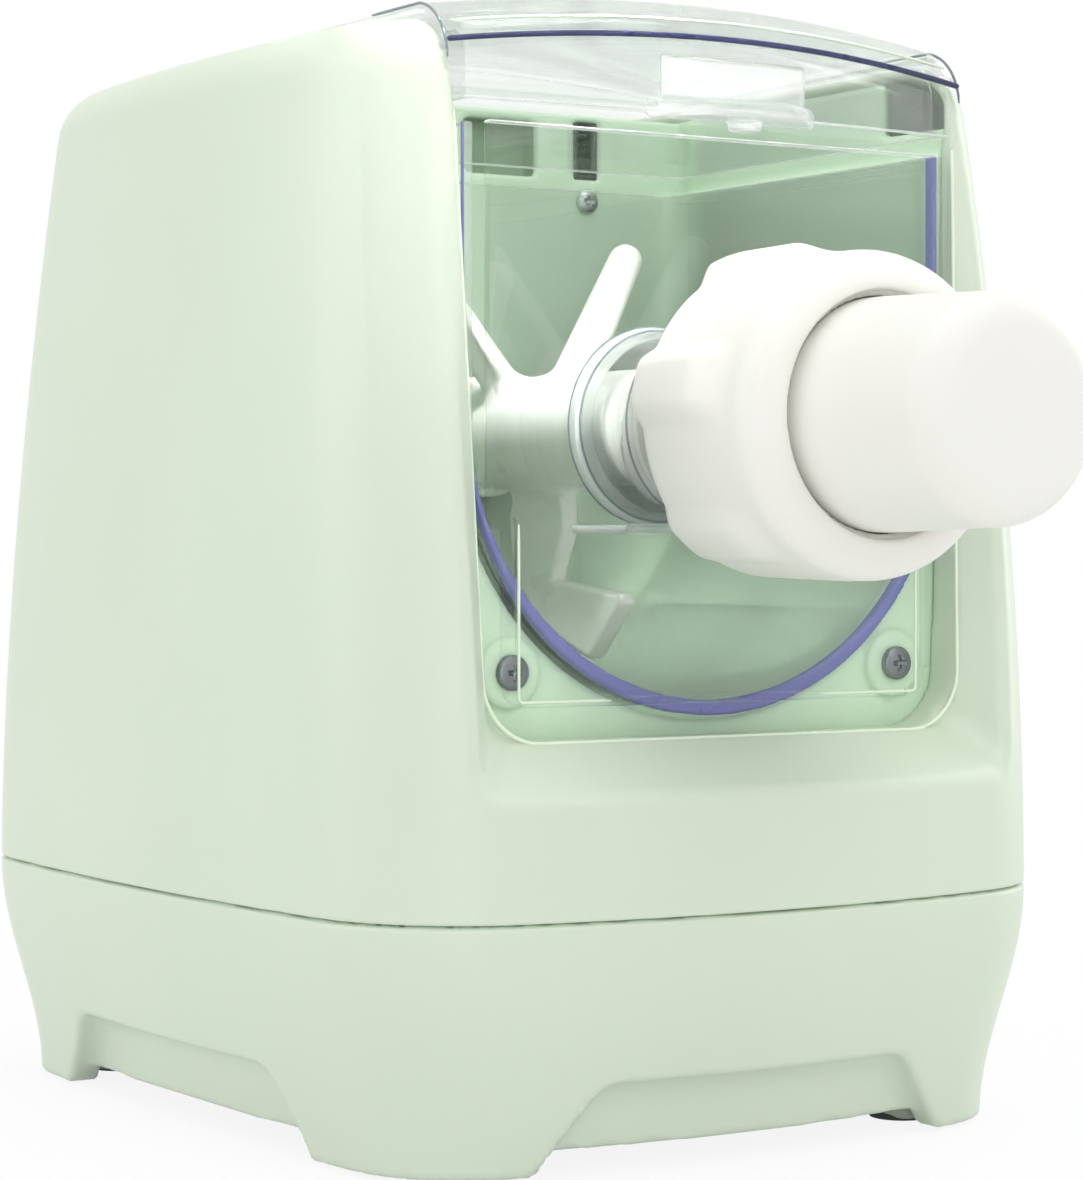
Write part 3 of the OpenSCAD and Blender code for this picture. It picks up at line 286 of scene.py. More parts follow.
def upper_housing_form(x, y, z):
    plan = plan_distance(x, y, z)
    skin = both(plan, z - BODY_H, SHOULDER_R)
    skin = both(skin, SEAM_Z + SEAM_GAP - z, 0.7)
    wall = WALL + np.clip((y - 40) / 30, 0, 1.0)
    hollow = both(plan + wall, z - BODY_H + wall, SHOULDER_R - WALL)
    # Behind the window the wall follows the cheeks, so the hollow starts at the liner's flange
    side = np.abs(x) - window_half(z)
    sill = WINDOW_Z - z
    frame_zone = meet(side - CHEEK_W - WALL, sill - SHELF_H - WALL, y - FLANGE_Y)
    hollow = meet(hollow, -frame_zone)
    body = less(skin, hollow, 0.5)
    # Sloped cheeks and shelf, mitred in the lower corners
    ridge = front_surface(window_half(z) + CHEEK_W, z)
    cheek_slope = np.clip((lip_y(z) - ridge) / CHEEK_W, 0.02, None)
    shelf_front = front_surface(x, np.full_like(z, WINDOW_Z - SHELF_H))
    shelf_slope = (lip_y(np.full_like(z, WINDOW_Z)) - shelf_front) / SHELF_H
    cheek = (y - (lip_y(z) - cheek_slope * side)) / np.sqrt(1 + cheek_slope ** 2)
    shelf = (y - (lip_y(z) - shelf_slope * sill)) / np.sqrt(1 + shelf_slope ** 2)
    cut = both(cheek, shelf, 4.0)
    body = less(body, cut, 2.2)
    window = meet(both(side, sill, WINDOW_R), y - FLANGE_Y - 5)
    body = less(body, window, 0.5)
    lid_well = box3(x, y, z, (-LID_WELL_HALF, FLANGE_Y, BODY_H - 20),
                    (LID_WELL_HALF, WELL_Y, BODY_H + 20))
    body = less(body, lid_well, 0.8)
    half, near, far = PANEL_W / 2, PANEL_Y, PANEL_Y + PANEL_D
    pocket = box3(x, y, z, (-half, near, BODY_H - PANEL_SEAT), (half, far, BODY_H + 9), 0.4)
    body = less(body, pocket, 0.5)
    hole = box3(x, y, z, (4 - half, near + 4, BODY_H - 12), (half - 4, far - 4, BODY_H + 9))
    body = less(body, hole, 0.3)
    vents = (box3(x, y, z, (i * 9 - 2, REAR - 40, 84), (i * 9 + 2, REAR + 10, 124), 1.9)
             for i in range(-4, 5))
    return less(body, join(*vents), 0.6)


# ---- From a distance function to a mesh ----

def steps(spans):
    """Grid lines from spans of (start, end, step)."""
    lines = []
    for a, b, s in spans:
        n = max(1, round((b - a) / s))
        lines.extend(a + (b - a) * i / n for i in range(n))
    lines.append(spans[-1][1])
    return np.array(lines)


def capped(v, most):
    """Rows of v, none longer than the most allowed."""
    size = np.linalg.norm(v, axis=1, keepdims=True)
    return v * np.minimum(1, most / np.maximum(size, 1e-9))


def surface_net(form, xs, ys, zs, rounds):
    """Quads round the zero surface of a distance function, with points drawn onto it."""
    chunks = []
    for k in range(0, len(zs), 24):
        grid = np.meshgrid(xs, ys, zs[k:k + 24], indexing="ij")
        chunks.append(form(*grid).astype(np.float32))
    f = np.concatenate(chunks, 2)
    f[f == 0] = 1e-6
    inside = f < 0
    cells = np.array(f.shape) - 1
    total = np.zeros(cells, np.int8)
    point_sum = np.zeros((3, *cells), np.float32)
    axes = (xs, ys, zs)
    crossings = []
    for d in range(3):
        low, high = [slice(None)] * 3, [slice(None)] * 3
        low[d], high[d] = slice(0, -1), slice(1, None)
        low, high = tuple(low), tuple(high)
        crossed = inside[low] != inside[high]
        idx = np.argwhere(crossed)
        fa, fb = f[low][crossed], f[high][crossed]
        p = np.stack([axes[e][idx[:, e]] for e in range(3)], 1).astype(np.float32)
        width = axes[d][idx[:, d] + 1] - axes[d][idx[:, d]]
        p[:, d] += fa / (fa - fb) * width
        # The four cells round each crossed grid edge
        u, v = np.delete(np.eye(3, dtype=int), d, 0)
        around = [idx - i * u - j * v for i in (0, 1) for j in (0, 1)]
        ok = np.ones(len(idx), bool)
        for cell in around:
            ok &= ((cell >= 0) & (cell < cells)).all(1)
        around = [tuple(cell[ok].T) for cell in around]
        for cell in around:
            np.add.at(total, cell, 1)
            for e in range(3):
                np.add.at(point_sum[e], cell, p[ok, e])
        crossings.append((d, around, fa[ok] < 0))
    used = total > 0
    number = np.full(total.shape, -1, np.int64)
    number[used] = np.arange(int(used.sum()))
    home = (point_sum[:, used] / total[used]).T.astype(float)
    faces = []
    for d, around, rising in crossings:
        ring = np.stack([number[cell] for cell in around], 1)[:, [0, 1, 3, 2]]
        flip = rising if d != 1 else ~rising
        ring[flip] = ring[flip][:, ::-1]
        faces += ring.tolist()
    limit = 0.6 * min(np.diff(axis).min() for axis in axes)
    h = 0.02
    points = home
    for _ in range(rounds):
        x, y, z = points.T
        slope = np.stack([form(x + h, y, z) - form(x - h, y, z),
                          form(x, y + h, z) - form(x, y - h, z),
                          form(x, y, z + h) - form(x, y, z - h)], 1) / (2 * h)
        gx, gy, gz = slope.T
        n2 = np.maximum(gx * gx + gy * gy + gz * gz, 0.05)
        points = points + capped(-(form(x, y, z) / n2)[:, None] * slope, limit)
        points = home + capped(points - home, 2 * limit)
    return points, faces


def mesh_object(name, points, faces, material):
    """Object from points in millimetres."""
    me = bpy.data.meshes.new(name)
    co = (np.asarray(points, float) + np.array([0, SHIFT, 0])) * MM
    me.from_pydata(co.tolist(), [], faces)
    me.validate()
    me.polygons.foreach_set("use_smooth", np.full(len(me.polygons), True))
    ob = bpy.data.objects.new(name, me)
    bpy.context.scene.collection.objects.link(ob)
    me.materials.append(material)
    return ob


def second_finish(ob, material, test):
    """Another material on the faces whose centre passes the test."""
    me = ob.data
    centres = np.empty(len(me.polygons) * 3, np.float32)
    me.polygons.foreach_get("center", centres)
    x, y, z = centres.reshape(-1, 3).T / MM
    me.materials.append(material)
    me.polygons.foreach_set("material_index", test(x, y - SHIFT, z).astype(np.int32))
    me.update()


def bead(name, path, r, material, body, replaced):
    """Round strip along a path of points in millimetres."""
    path = np.array(path, float)
    along = np.gradient(path, axis=0)
    along /= np.linalg.norm(along, axis=1)[:, None]
    up = np.zeros(3)
    up[np.argmin(np.ptp(path, axis=0))] = 1.0
    points, faces, sides = [], [], 10
    for k, (p, d) in enumerate(zip(path, along)):
        u = np.cross(d, up)
        u /= np.linalg.norm(u)
        v = np.cross(u, d)
        last = k in (0, len(path) - 1)
        for j in range(sides):
            a = 2 * math.pi * j / sides
            points.append(p + (u * math.cos(a) + v * math.sin(a)) * (r * 0.6 if last else r))
        if k:
            n = (k - 1) * sides
            for j in range(sides):
                i = (j + 1) % sides
                faces.append((n + j, n + i, n + sides + i, n + sides + j))
    faces.append(tuple(range(sides))[::-1])
    faces.append(tuple(range(len(points) - sides, len(points))))
    place(mesh_object(name, points, faces, material), body, replaced)


def net_object(name, form, xs, ys, zs, material, body, replaced, slot, rounds=4):
    """Piece from a distance function and the spans of its grid."""
    points, faces = surface_net(form, steps(xs), steps(ys), steps(zs), rounds)
    return place(mesh_object(name, points, faces, material), body, replaced)


def place(ob, body, replaced):
    """The part frame's say on a piece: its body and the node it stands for."""
    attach(ob, body)
    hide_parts(replaced)
    return ob


# ---- Materials ----

def connect(t, n, inputs):
    """Sets a node's inputs to values, or links them to other nodes."""
    for key, value in inputs.items():
        if isinstance(value, bpy.types.Node):
            value = value.outputs[0]
        if isinstance(value, bpy.types.NodeSocket):
            t.links.new(value, n.inputs[key])
        else:
            n.inputs[key].default_value = value


def node(t, kind, inputs=None, **settings):
    n = t.nodes.new("ShaderNode" + kind)
    for key, value in settings.items():
        setattr(n, key, value)
    connect(t, n, inputs or {})
    return n


def mixed(t, share, first, second, out):
    """Two shaders mixed into the output."""
    connect(t, out, {0: node(t, "MixShader", {0: share, 1: first, 2: second})})


def srgb(*colour):
    def lin(c):
        c /= 255
        return c / 12.92 if c <= 0.04045 else ((c + 0.055) / 1.055) ** 2.4
    return (*map(lin, colour), 1)


def new_material(name):
    m = bpy.data.materials.new(name)
    m.use_nodes = True
    t = m.node_tree
    t.nodes.clear()
    out = node(t, "OutputMaterial")
    shader = node(t, "BsdfPrincipled")
    connect(t, out, {0: shader})
    return m, t, shader, node(t, "TexCoord").outputs["Object"], out


def noise(t, coord, scale, detail=2.0, rough=0.5, stretch=None):
    """Soft noise over the object's own space."""
    if stretch:
        coord = node(t, "Mapping", {"Scale": stretch, "Vector": coord})
    return node(t, "TexNoise", {"Scale": scale, "Detail": detail, "Roughness": rough,
                                "Vector": coord})


def ramp(t, value, low, high, a=0.3, b=0.7):
    r = node(t, "ValToRGB", {0: value})
    for stop, spot, colour in zip(r.color_ramp.elements, (a, b), (low, high)):
        stop.position, stop.color = spot, colour
    return r


def span(t, value, low, high, start=0.3, end=0.7, **settings):
    """The range from start to end brought to the one from low to high."""
    return node(t, "MapRange", {"Value": value, "From Min": start, "From Max": end,
                                "To Min": low, "To Max": high}, **settings)


def bump(t, value, distance, strength):
    return node(t, "Bump", {"Distance": distance, "Strength": strength, "Height": value})


def solid_plastic(name, low, high, rough, grain=900.0, depth=0.00002, coat=0.0):
    """Moulded plastic: faint drift of colour, uneven gloss and a fine spark texture."""
    m, t, s, coord, _ = new_material(name)
    connect(t, s, {
        "Base Color": ramp(t, noise(t, coord, 14, 3), srgb(*low), srgb(*high)),
        "Roughness": span(t, noise(t, coord, 38, 4), rough - 0.035, rough + 0.035),
        "Normal": bump(t, noise(t, coord, grain, 2), depth, 0.35), "IOR": 1.48})
    if coat:
        connect(t, s, {"Coat Weight": coat, "Coat Roughness": 0.12})
    return m


def clear_plastic(name, face, edge, rough, share, straight):
    """Clear moulded plastic with light, glossy edges. Of the light that passes, the share
    called straight goes through unbent, and so does all of it on its way to a shadow."""
    m, t, s, coord, out = new_material(name)
    away = node(t, "LayerWeight", {"Blend": 0.35}).outputs["Facing"]
    connect(t, s, {
        "Base Color": ramp(t, away, (*face, 1), (*edge, 1), 0.45, 0.95),
        "Roughness": span(t, noise(t, coord, 60, 3), rough, rough + 0.025),
        "Normal": bump(t, noise(t, coord, 22, 1), 0.00008, 0.1), "IOR": 1.4,
        "Transmission Weight": span(t, away, share, share * 0.55, 0.5, 0.97)})
    shadow = node(t, "LightPath").outputs["Is Shadow Ray"]
    seen = span(t, away, straight, straight * 0.35, 0.5, 0.97)
    through = node(t, "BsdfTransparent", {0: (0.99, 0.997, 0.993, 1)})
    mixed(t, node(t, "Math", {0: shadow, 1: seen}, operation="MAXIMUM"), s, through, out)
    return m


def metal(name, low, high, rough, stretch=(1, 1, 40)):
    """Turned or brushed metal with fine streaks."""
    m, t, s, coord, _ = new_material(name)
    streaks = noise(t, coord, 180, 3, 0.6, stretch)
    connect(t, s, {
        "Metallic": 1.0, "Base Color": ramp(t, noise(t, coord, 60, 3), srgb(*low), srgb(*high)),
        "Roughness": span(t, streaks, rough - 0.06, rough + 0.08),
        "Normal": bump(t, streaks, 0.00002, 0.3)})
    return m


MINT = solid_plastic("mint_plastic", (208, 220, 201), (211, 223, 204), 0.36)
# The bay liner's mint, greener than the shell's and set lighter to brighten the shaded bay: partly
# painted light
MINT_IN = solid_plastic("mint_inner_plastic", (207, 231, 204), (211, 234, 208), 0.42)
CLEAR = clear_plastic("clear_lid_plastic", (0.985, 0.995, 0.99), (0.86, 0.9, 0.93), 0.02, 1.0, 0.85)
CLEAR_THICK = clear_plastic("clear_plate_plastic", (0.98, 0.995, 0.985), (0.84, 0.93, 0.88),
                            0.02, 1.0, 0.92)
TUBE = clear_plastic("clear_tube_plastic", (0.96, 0.98, 0.94), (0.9, 0.93, 0.88), 0.03, 0.8, 0.86)
TROUGH = clear_plastic("clear_trough_plastic", (0.9, 0.97, 0.9), (0.88, 0.95, 0.89),
                       0.06, 0.5, 0.58)
# Painted highlight on the edges of a clear piece, where the light it carries comes out: a whiter,
# less clear finish
CLEAR_EDGE_HIGHLIGHT = clear_plastic("clear_edge_painted_highlight", (0.97, 1.0, 0.98), (0.95, 0.99, 0.97),
                           0.15, 0.3, 0.3)
FROSTED = clear_plastic("frosted_tab_plastic", (0.99, 1.0, 0.995), (0.93, 0.95, 0.96),
                        0.12, 0.8, 0.42)
# Pale mint for thin beads that paint highlights along edges: the window's lip, the plate's ribs and
# the lid's front
PAINTED_HIGHLIGHT = solid_plastic("mint_painted_highlight", (226, 240, 218), (232, 244, 224), 0.25)
EDGE_SHADE = solid_plastic("clear_edge_shade", (112, 124, 132), (126, 138, 146), 0.2)
# Darker mint for the recess in the bay's back wall: painted shade
POCKET_SHADE = solid_plastic("mint_pocket_painted_shade", (134, 158, 130), (142, 166, 138), 0.45)
# A lighter copy of the ivory for the paddle and auger, which sit in the shaded bay: painted light
IVORY_PAINTED_LIGHT = solid_plastic("ivory_paddle_painted_light", (246, 247, 241), (249, 250, 245), 0.3)
VIOLET = solid_plastic("violet_seal_plastic", (112, 115, 172), (122, 125, 182), 0.25, 500, 0.00001)
DARK_SEAL = solid_plastic("dark_seal_rubber", (38, 42, 78), (52, 56, 98), 0.3, 500, 0.00001)
IVORY = solid_plastic("ivory_plastic", (236, 236, 231), (240, 240, 236), 0.33)
IVORY_MATT = solid_plastic("ivory_matt_plastic", (234, 233, 227), (238, 237, 232), 0.48,
                           1400, 0.00003)
BLACK = solid_plastic("black_plastic", (30, 31, 33), (38, 39, 42), 0.4)
GLASS = solid_plastic("display_glass", (14, 16, 18), (20, 22, 25), 0.08, 300, 0.000002, 1.0)
RUBBER = solid_plastic("grey_rubber", (70, 72, 74), (84, 86, 88), 0.75, 1200, 0.00006)
STEEL = metal("bright_steel", (190, 193, 196), (206, 208, 210), 0.28)
DARK = metal("dark_steel", (118, 121, 124), (140, 143, 147), 0.36)
BRONZE = metal("sintered_bronze", (150, 112, 66), (172, 130, 80), 0.45)
ACETAL = solid_plastic("acetal_gear_plastic", (226, 222, 208), (234, 230, 218), 0.42)
COPPER = metal("wound_copper", (168, 98, 56), (196, 122, 72), 0.38, (1, 90, 1))
BOARD = solid_plastic("circuit_board", (38, 92, 58), (50, 108, 70), 0.35, 240, 0.00004)
FINISH = {
    "mint_shell": MINT, "mint_liner": MINT_IN, "clear_plastic": CLEAR_THICK, "violet_seal": VIOLET,
    "ivory_plastic": IVORY, "black_plastic": BLACK, "black_glass": GLASS, "black_rubber": RUBBER,
    "steel": STEEL, "dark_steel": DARK, "bronze": BRONZE, "acetal": ACETAL, "copper": COPPER,
    "circuit_board": BOARD,
}
for row in frame["record"]["subparts"]:
    data = nodes[row["node"]].data
    data.materials.clear()
    data.materials.append(FINISH[row["material_slot"]])

# ---- Camera, background and light ----

scene = bpy.context.scene
scene.view_settings.view_transform = "Standard"

yaw, pitch, roll = (math.radians(a) for a in (32.7345, -0.8455, -0.041))
ahead = Vector((math.sin(yaw) * math.cos(pitch), math.cos(yaw) * math.cos(pitch), math.sin(pitch)))
right = ahead.cross(Vector((0, 0, 1))).normalized()
up = right.cross(ahead)
across = right * math.cos(roll) + up * math.sin(roll)
above = up * math.cos(roll) - right * math.sin(roll)
camera_data = bpy.data.cameras.new("camera")
camera_data.sensor_width = 36
camera_data.lens = 101.02
camera_data.clip_end = 50
camera = bpy.data.objects.new("camera", camera_data)
turn = Matrix((across, above, -ahead)).transposed().to_4x4()
camera.matrix_world = Matrix.Translation((-0.467606, -0.710889, 0.147151)) @ turn
scene.collection.objects.link(camera)
scene.camera = camera


def seen_directly(t):
    """1 for rays from the camera, from gloss and through glass, which then see a white ground."""
    light = node(t, "LightPath")
    total = light.outputs["Is Camera Ray"]
    for name in ("Is Glossy Ray", "Is Transmission Ray"):
        total = node(t, "Math", {0: total, 1: light.outputs[name]}, operation="MAXIMUM")
    return total


world = bpy.data.worlds.new("studio")
scene.world = world
world.use_nodes = True
t = world.node_tree
t.nodes.clear()
soft, white = (node(t, "Background", {0: (1, 1, 1, 1), 1: strength}) for strength in (0.65, 1.0))
mixed(t, seen_directly(t), soft, white, node(t, "OutputWorld"))

# The floor glows up to white away from the object, for the rays that see it directly
floor_mat, t, shader, coord, out = new_material("studio_floor")
grey = [(v, v, v, 1) for v in (0.86, 0.88)]
connect(t, shader, {"Roughness": 0.9, "Specular IOR Level": 0.1,
                    "Base Color": ramp(t, noise(t, coord, 3), *grey)})
away = node(t, "VectorMath", {0: coord}, operation="LENGTH").outputs["Value"]
fade = span(t, away, 0.88, 1.0, 0.18, 0.75, interpolation_type="SMOOTHSTEP")
share = node(t, "Math", {0: seen_directly(t), 1: fade}, operation="MULTIPLY")
mixed(t, share, shader, node(t, "Emission", {1: 1.0}), out)
bm = bmesh.new()
bmesh.ops.create_circle(bm, cap_ends=True, segments=96, radius=12)
data = bpy.data.meshes.new("floor")
bm.to_mesh(data)
bm.free()
floor = bpy.data.objects.new("floor", data)
data.materials.append(floor_mat)
scene.collection.objects.link(floor)


def softbox(name, place_at, target, size, power):
    lamp = bpy.data.lights.new("light_" + name, "AREA")
    lamp.shape = "RECTANGLE"
    lamp.size, lamp.size_y = size
    lamp.energy = power
    ob = bpy.data.objects.new(lamp.name, lamp)
    ob.location = place_at
    ob.rotation_euler = (Vector(target) - ob.location).to_track_quat("-Z", "Y").to_euler()
    scene.collection.objects.link(ob)
    return lamp


MIDDLE = (0, 0, 0.14)
softbox("left", (-1.7, 0.8, 0.75), MIDDLE, (1.3, 1.5), 8.3)
softbox("camera_side", (-1.15, -1.65, 0.3), MIDDLE, (0.9, 0.7), 4)
softbox("front", (0.1, -1.5, 1.2), MIDDLE, (1.1, 0.8), 6)
softbox("right", (1.7, 0.1, 0.7), MIDDLE, (1.0, 1.4), 6.5)
softbox("top", (0.1, 0.1, 2.0), (0, 0, 0.1), (1.4, 1.4), 13)
# Two boxes with grids above the bay, so that their light falls into the bay alone
for name, spot in (("bay_left", (-0.26, -0.52, 1.16)), ("bay_front", (0, -0.75, 1.05))):
    softbox(name, spot, (-0.008, 0, 0.16), (0.09, 0.09), 0.03).spread = math.radians(6)

# ---- Housing ----

net_object(
    "housing_upper", upper_housing_form,
    [(-GRID_X, -43, 1.7), (-43, 43, 1.3), (43, GRID_X, 1.7)],
    [(GRID_Y0, -90, 1.3), (-90, 110, 2.2), (110, GRID_Y1, 1.5)],
    [(59.6, 62.4, 0.4), (62.4, 84, 2.2), (84, 120, 1.3), (120, 250, 2.2), (250, 271.5, 1.2)],
    MINT, "housing", "upper_housing", "mint_shell")

PAD_STAND = 1.0
SKIRT_INSET = 8.5
SKIRT_Z = 6.0
TRAY_Z = 27.0
ARCH_H = 22.0
ARCH_DEPTH = 6.0
ARCH_X = 48.0
ARCH_Y = 56.0
MID = (REAR - FRONT) / 2
FOOT_X = BODY_W / 2 - 38
FOOT_Y = (FRONT + REAR) / 2 - 41
SCREW_X = BODY_W / 2 - 25
SCREW_Y = 58.0
INLET_X, INLET_Z, INLET_Y = -52.0, 41.0, REAR - 14


def arch_form(u, v, half):
    return polygon2(u, v, [(-(half - 9), ARCH_H - 9), (half - 9, ARCH_H - 9),
                           (half + 9.8, ARCH_H - 34), (-(half + 9.8), ARCH_H - 34)]) - 9


def base_shell_form(x, y, z):
    plan = plan_distance(x, y, z)
    skin = both(both(plan, z - SEAM_Z, 0.7), PAD_STAND - z, 1.0)
    tray = meet(plan + WALL, TRAY_Z - z)
    skirt = meet(plan + SKIRT_INSET, z - TRAY_Z + 2.5)
    body = less(less(skin, tray, 0.4), skirt, 0.8)
    feet = length2(np.abs(x) - FOOT_X, np.abs(y - MID) - FOOT_Y)
    boss = meet(feet - 11, PAD_STAND - z, z - 9)
    screws = length2(np.abs(x) - SCREW_X, np.abs(y - MID) - SCREW_Y)
    pillar = meet(screws - 6, 9 - z, z - SEAM_Z)
    body = join(body, meet(join(boss, pillar), plan + 1))
    # Arches: a soft recess in the wall, and an open gap below the skirt
    arch = join(arch_form(x, z, ARCH_X), arch_form(y - MID, z, ARCH_Y))
    recess = both(arch, -(plan + ARCH_DEPTH), 4.5)
    gap = both(arch, z - SKIRT_Z, 1.5)
    body = less(body, join(recess, gap), 1.4)
    tongue = meet(plan + 1.0, -2.6 - plan, z - SEAM_Z - 0.5, SEAM_Z - 3 - z)
    body = join(body, tongue)
    pads = meet(feet - 8.2, z - 3)
    bores = screws - 2.4
    inlet = box3(x, y, z, (INLET_X - 14, INLET_Y - 40, INLET_Z - 10.5),
                 (INLET_X + 14, REAR + 10, INLET_Z + 10.5), 1.0)
    collar = box3(x, y, z, (INLET_X - 16, INLET_Y, INLET_Z - 12.5),
                  (INLET_X + 16, REAR + 10, INLET_Z + 12.5), 2.0)
    return less(body, join(pads, bores, inlet, collar), 0.5)


net_object(
    "housing_base", base_shell_form,
    [(-GRID_X, GRID_X, 1.6)], [(GRID_Y0, GRID_Y1, 1.6)],
    [(-1, 28, 1.2), (28, 56, 2.4), (56, 59, 1), (59, 61.4, 0.4)],
    MINT, "housing", "base_shell", "mint_shell")

# ---- Turned pieces ----


def rounded(points, radii, n=5):
    """Outline whose corners are arcs of the given radii, each in n parts."""
    points = np.array(points, float)
    out = []
    for i, (b, r) in enumerate(zip(points, radii)):
        if r <= 0:
            out.append(tuple(b))
            continue
        u, v = points[i - 1] - b, points[(i + 1) % len(points)] - b
        lu, lv = np.linalg.norm(u), np.linalg.norm(v)
        u, v = u / lu, v / lv
        half = math.acos(max(-1, min(1, float(u @ v)))) / 2
        if half > math.pi / 2 - 0.02:
            out.append(tuple(b))
            continue
        d = min(r / math.tan(half), 0.48 * min(lu, lv))
        r = d * math.tan(half)
        mid = (u + v) / np.linalg.norm(u + v)
        centre = b + mid * r / math.sin(half)
        a, c = b + u * d - centre, b + v * d - centre
        turn = math.pi - 2 * half
        for k in range(n + 1):
            t = k / n
            w = (math.sin((1 - t) * turn) * a + math.sin(t * turn) * c) / math.sin(turn)
            out.append(tuple(centre + w))
    return out


def revolved(name, outline, material, along="y", at=(0.0, AXIS_Z), segments=144, closed=True):
    """Outline of (radius, height) pairs turned about an axis; open outlines start and end on it."""
    points, rings, faces = [], [], []
    for r, h in outline:
        ring = []
        count = 1 if r < 1e-6 else segments
        for k in range(count):
            a = 2 * math.pi * k / segments
            p, q = at[0] + r * math.cos(a), at[1] + r * math.sin(a)
            ring.append(len(points))
            points.append((p, h, q) if along == "y" else (p, q, h))
        rings.append(ring * segments if count == 1 else ring)
    pairs = list(zip(rings, rings[1:])) + ([(rings[-1], rings[0])] if closed else [])
    for a, b in pairs:
        for k in range(segments):
            j = (k + 1) % segments
            quad = [a[k], a[j], b[j], b[k]]
            quad = [v for i, v in enumerate(quad) if v != quad[i - 1]]
            if len(quad) > 2:
                faces.append(quad)
    ob = mesh_object(name, points, faces, material)
    bm = bmesh.new()
    bm.from_mesh(ob.data)
    bmesh.ops.recalc_face_normals(bm, faces=bm.faces)
    bm.to_mesh(ob.data)
    bm.free()
    ob.data.set_sharp_from_angle(angle=math.radians(40))
    return ob


# ---- Bay liner and what sits in it ----

BOSS_X, BOSS_Z, BOSS_R = 57.0, AXIS_Z - 59, 8.5
SLOT_X, SLOT_Z0, SLOT_Z1 = 41.5, BODY_H - 21.5, BODY_H - 5.5
POCKET_X0, POCKET_X1 = 2.0, 25.0
WELL_TOP = 265.9
FLANGE_T = 2.5
TUB_HALF = 75.8
RIM_Z = BODY_H + 0.25


def reach(x, z):
    """Distance from the axis below it, and from the middle plane above it."""
    return np.where(z < AXIS_Z, length2(x, z - AXIS_Z), np.abs(x))


def liner_form(x, y, z):
    u = reach(x, z)
    outer = meet(both(u - LINER_R - LINER_T - 1, y - LINER_BACK - LINER_T, 8), z - WELL_Z,
                 FLANGE_Y - y)
    side = both(np.abs(x) - window_half(z) - 4, WINDOW_Z - 11 - z, 9)
    flange = meet(side, z - WELL_Z, FLANGE_Y - y, y - FLANGE_Y - FLANGE_T)
    tub = box3(x, y, z, (-TUB_HALF, FLANGE_Y, 243), (TUB_HALF, 40.5, WELL_TOP), 0.8)
    notch = box3(x, y, z, (-200, -120, BODY_H - 17), (200, FLANGE_Y + 22, 300))
    outer = join(outer, flange, meet(tub, -notch))
    room = both(u - LINER_R, y - LINER_BACK, 7)
    well = box3(x, y, z, (-WELL_HALF, -130, WELL_Z), (WELL_HALF, WELL_Y, 320), 2)
    wall = box3(x, y, z, (-74.8, LINER_BACK, 240), (74.8, LINER_BACK + 2, WELL_TOP))
    body = less(outer, join(room, meet(well, -wall)), 0.8)
    pocket = box3(x, y, z, (0, LINER_BACK, 244), (27, LINER_BACK + 8, 264.5), 1)
    slot = box3(x, y, z, (SLOT_X - 6, LINER_BACK, 244), (SLOT_X + 6, LINER_BACK + 8, 265.5), 1)
    disc = rod_y(x, y, z, 24, LINER_BACK, LINER_BACK + 6, edge=0.8)
    body = join(body, pocket, slot, disc)
    to_boss = length2(np.abs(x) - BOSS_X, z - BOSS_Z)
    bosses = both(to_boss - BOSS_R, FLANGE_Y - 2 - y, 0.8)
    body = join(body, meet(bosses, y - FLANGE_Y - 1))
    cut = box3(x, y, z, (POCKET_X0, LINER_BACK - 3, SLOT_Z0),
               (POCKET_X1, LINER_BACK + 6, SLOT_Z1 - 1), 1.5)
    body = less(body, cut, 0.8)
    cut = box3(x, y, z, (SLOT_X - 4, LINER_BACK - 3, SLOT_Z0),
               (SLOT_X + 4, LINER_BACK + 12, SLOT_Z1))
    body = less(body, cut, 0.3)
    cut = join(rod_y(x, y, z, 9.5, 10, 27), rod_y(x, y, z, 1.5, 10, 27, SLOT_X, SLOT_Z0 - 6),
               meet(to_boss - 2.3, y + 87))
    return meet(body, -cut)


bay = net_object(
    "bay", liner_form,
    [(-79, 79, 1.45)], [(-103, -95, 0.9), (-95, 0, 4), (0, 42, 1.3)],
    [(87, 176, 1.5), (176, 238, 3.5), (238, 268, 1.1)],
    MINT_IN, "housing", "bay_liner", "mint_liner")
# Painted shade: the darker mint on the faces inside the recess in the back wall
second_finish(bay, POCKET_SHADE, lambda x, y, z: (y > LINER_BACK + 2) & (y < LINER_BACK + 7)
              & (x > POCKET_X0 - 0.9) & (x < POCKET_X1 + 0.9)
              & (z > SLOT_Z0 - 0.7) & (z < SLOT_Z1 - 0.3))


def lip_line():
    """Along the edge where the sloped cheeks and the shelf meet the bay."""
    corner = WINDOW_Z + WINDOW_R
    half = [(window_half(z) + 0.3, lip_y(z) + 0.2, z) for z in np.linspace(246, corner, 24)]
    for a in np.linspace(0.1, math.pi / 2, 12):
        z = corner - WINDOW_R * math.sin(a) - 0.2
        half.append((window_half(z) - WINDOW_R * (1 - math.cos(a)) + 0.3, lip_y(z) + 0.2, z))
    shelf = np.linspace(half[-1][0] - 3, 0, 12)
    half += [(x, lip_y(WINDOW_Z) + 0.2, WINDOW_Z - 0.2) for x in shelf]
    return half + [(-x, y, z) for x, y, z in half[-2::-1]]


# Painted highlight: a pale bead along the window's lip edge
bead("lip_line", lip_line(), 0.5, PAINTED_HIGHLIGHT, "housing", "bay_liner")


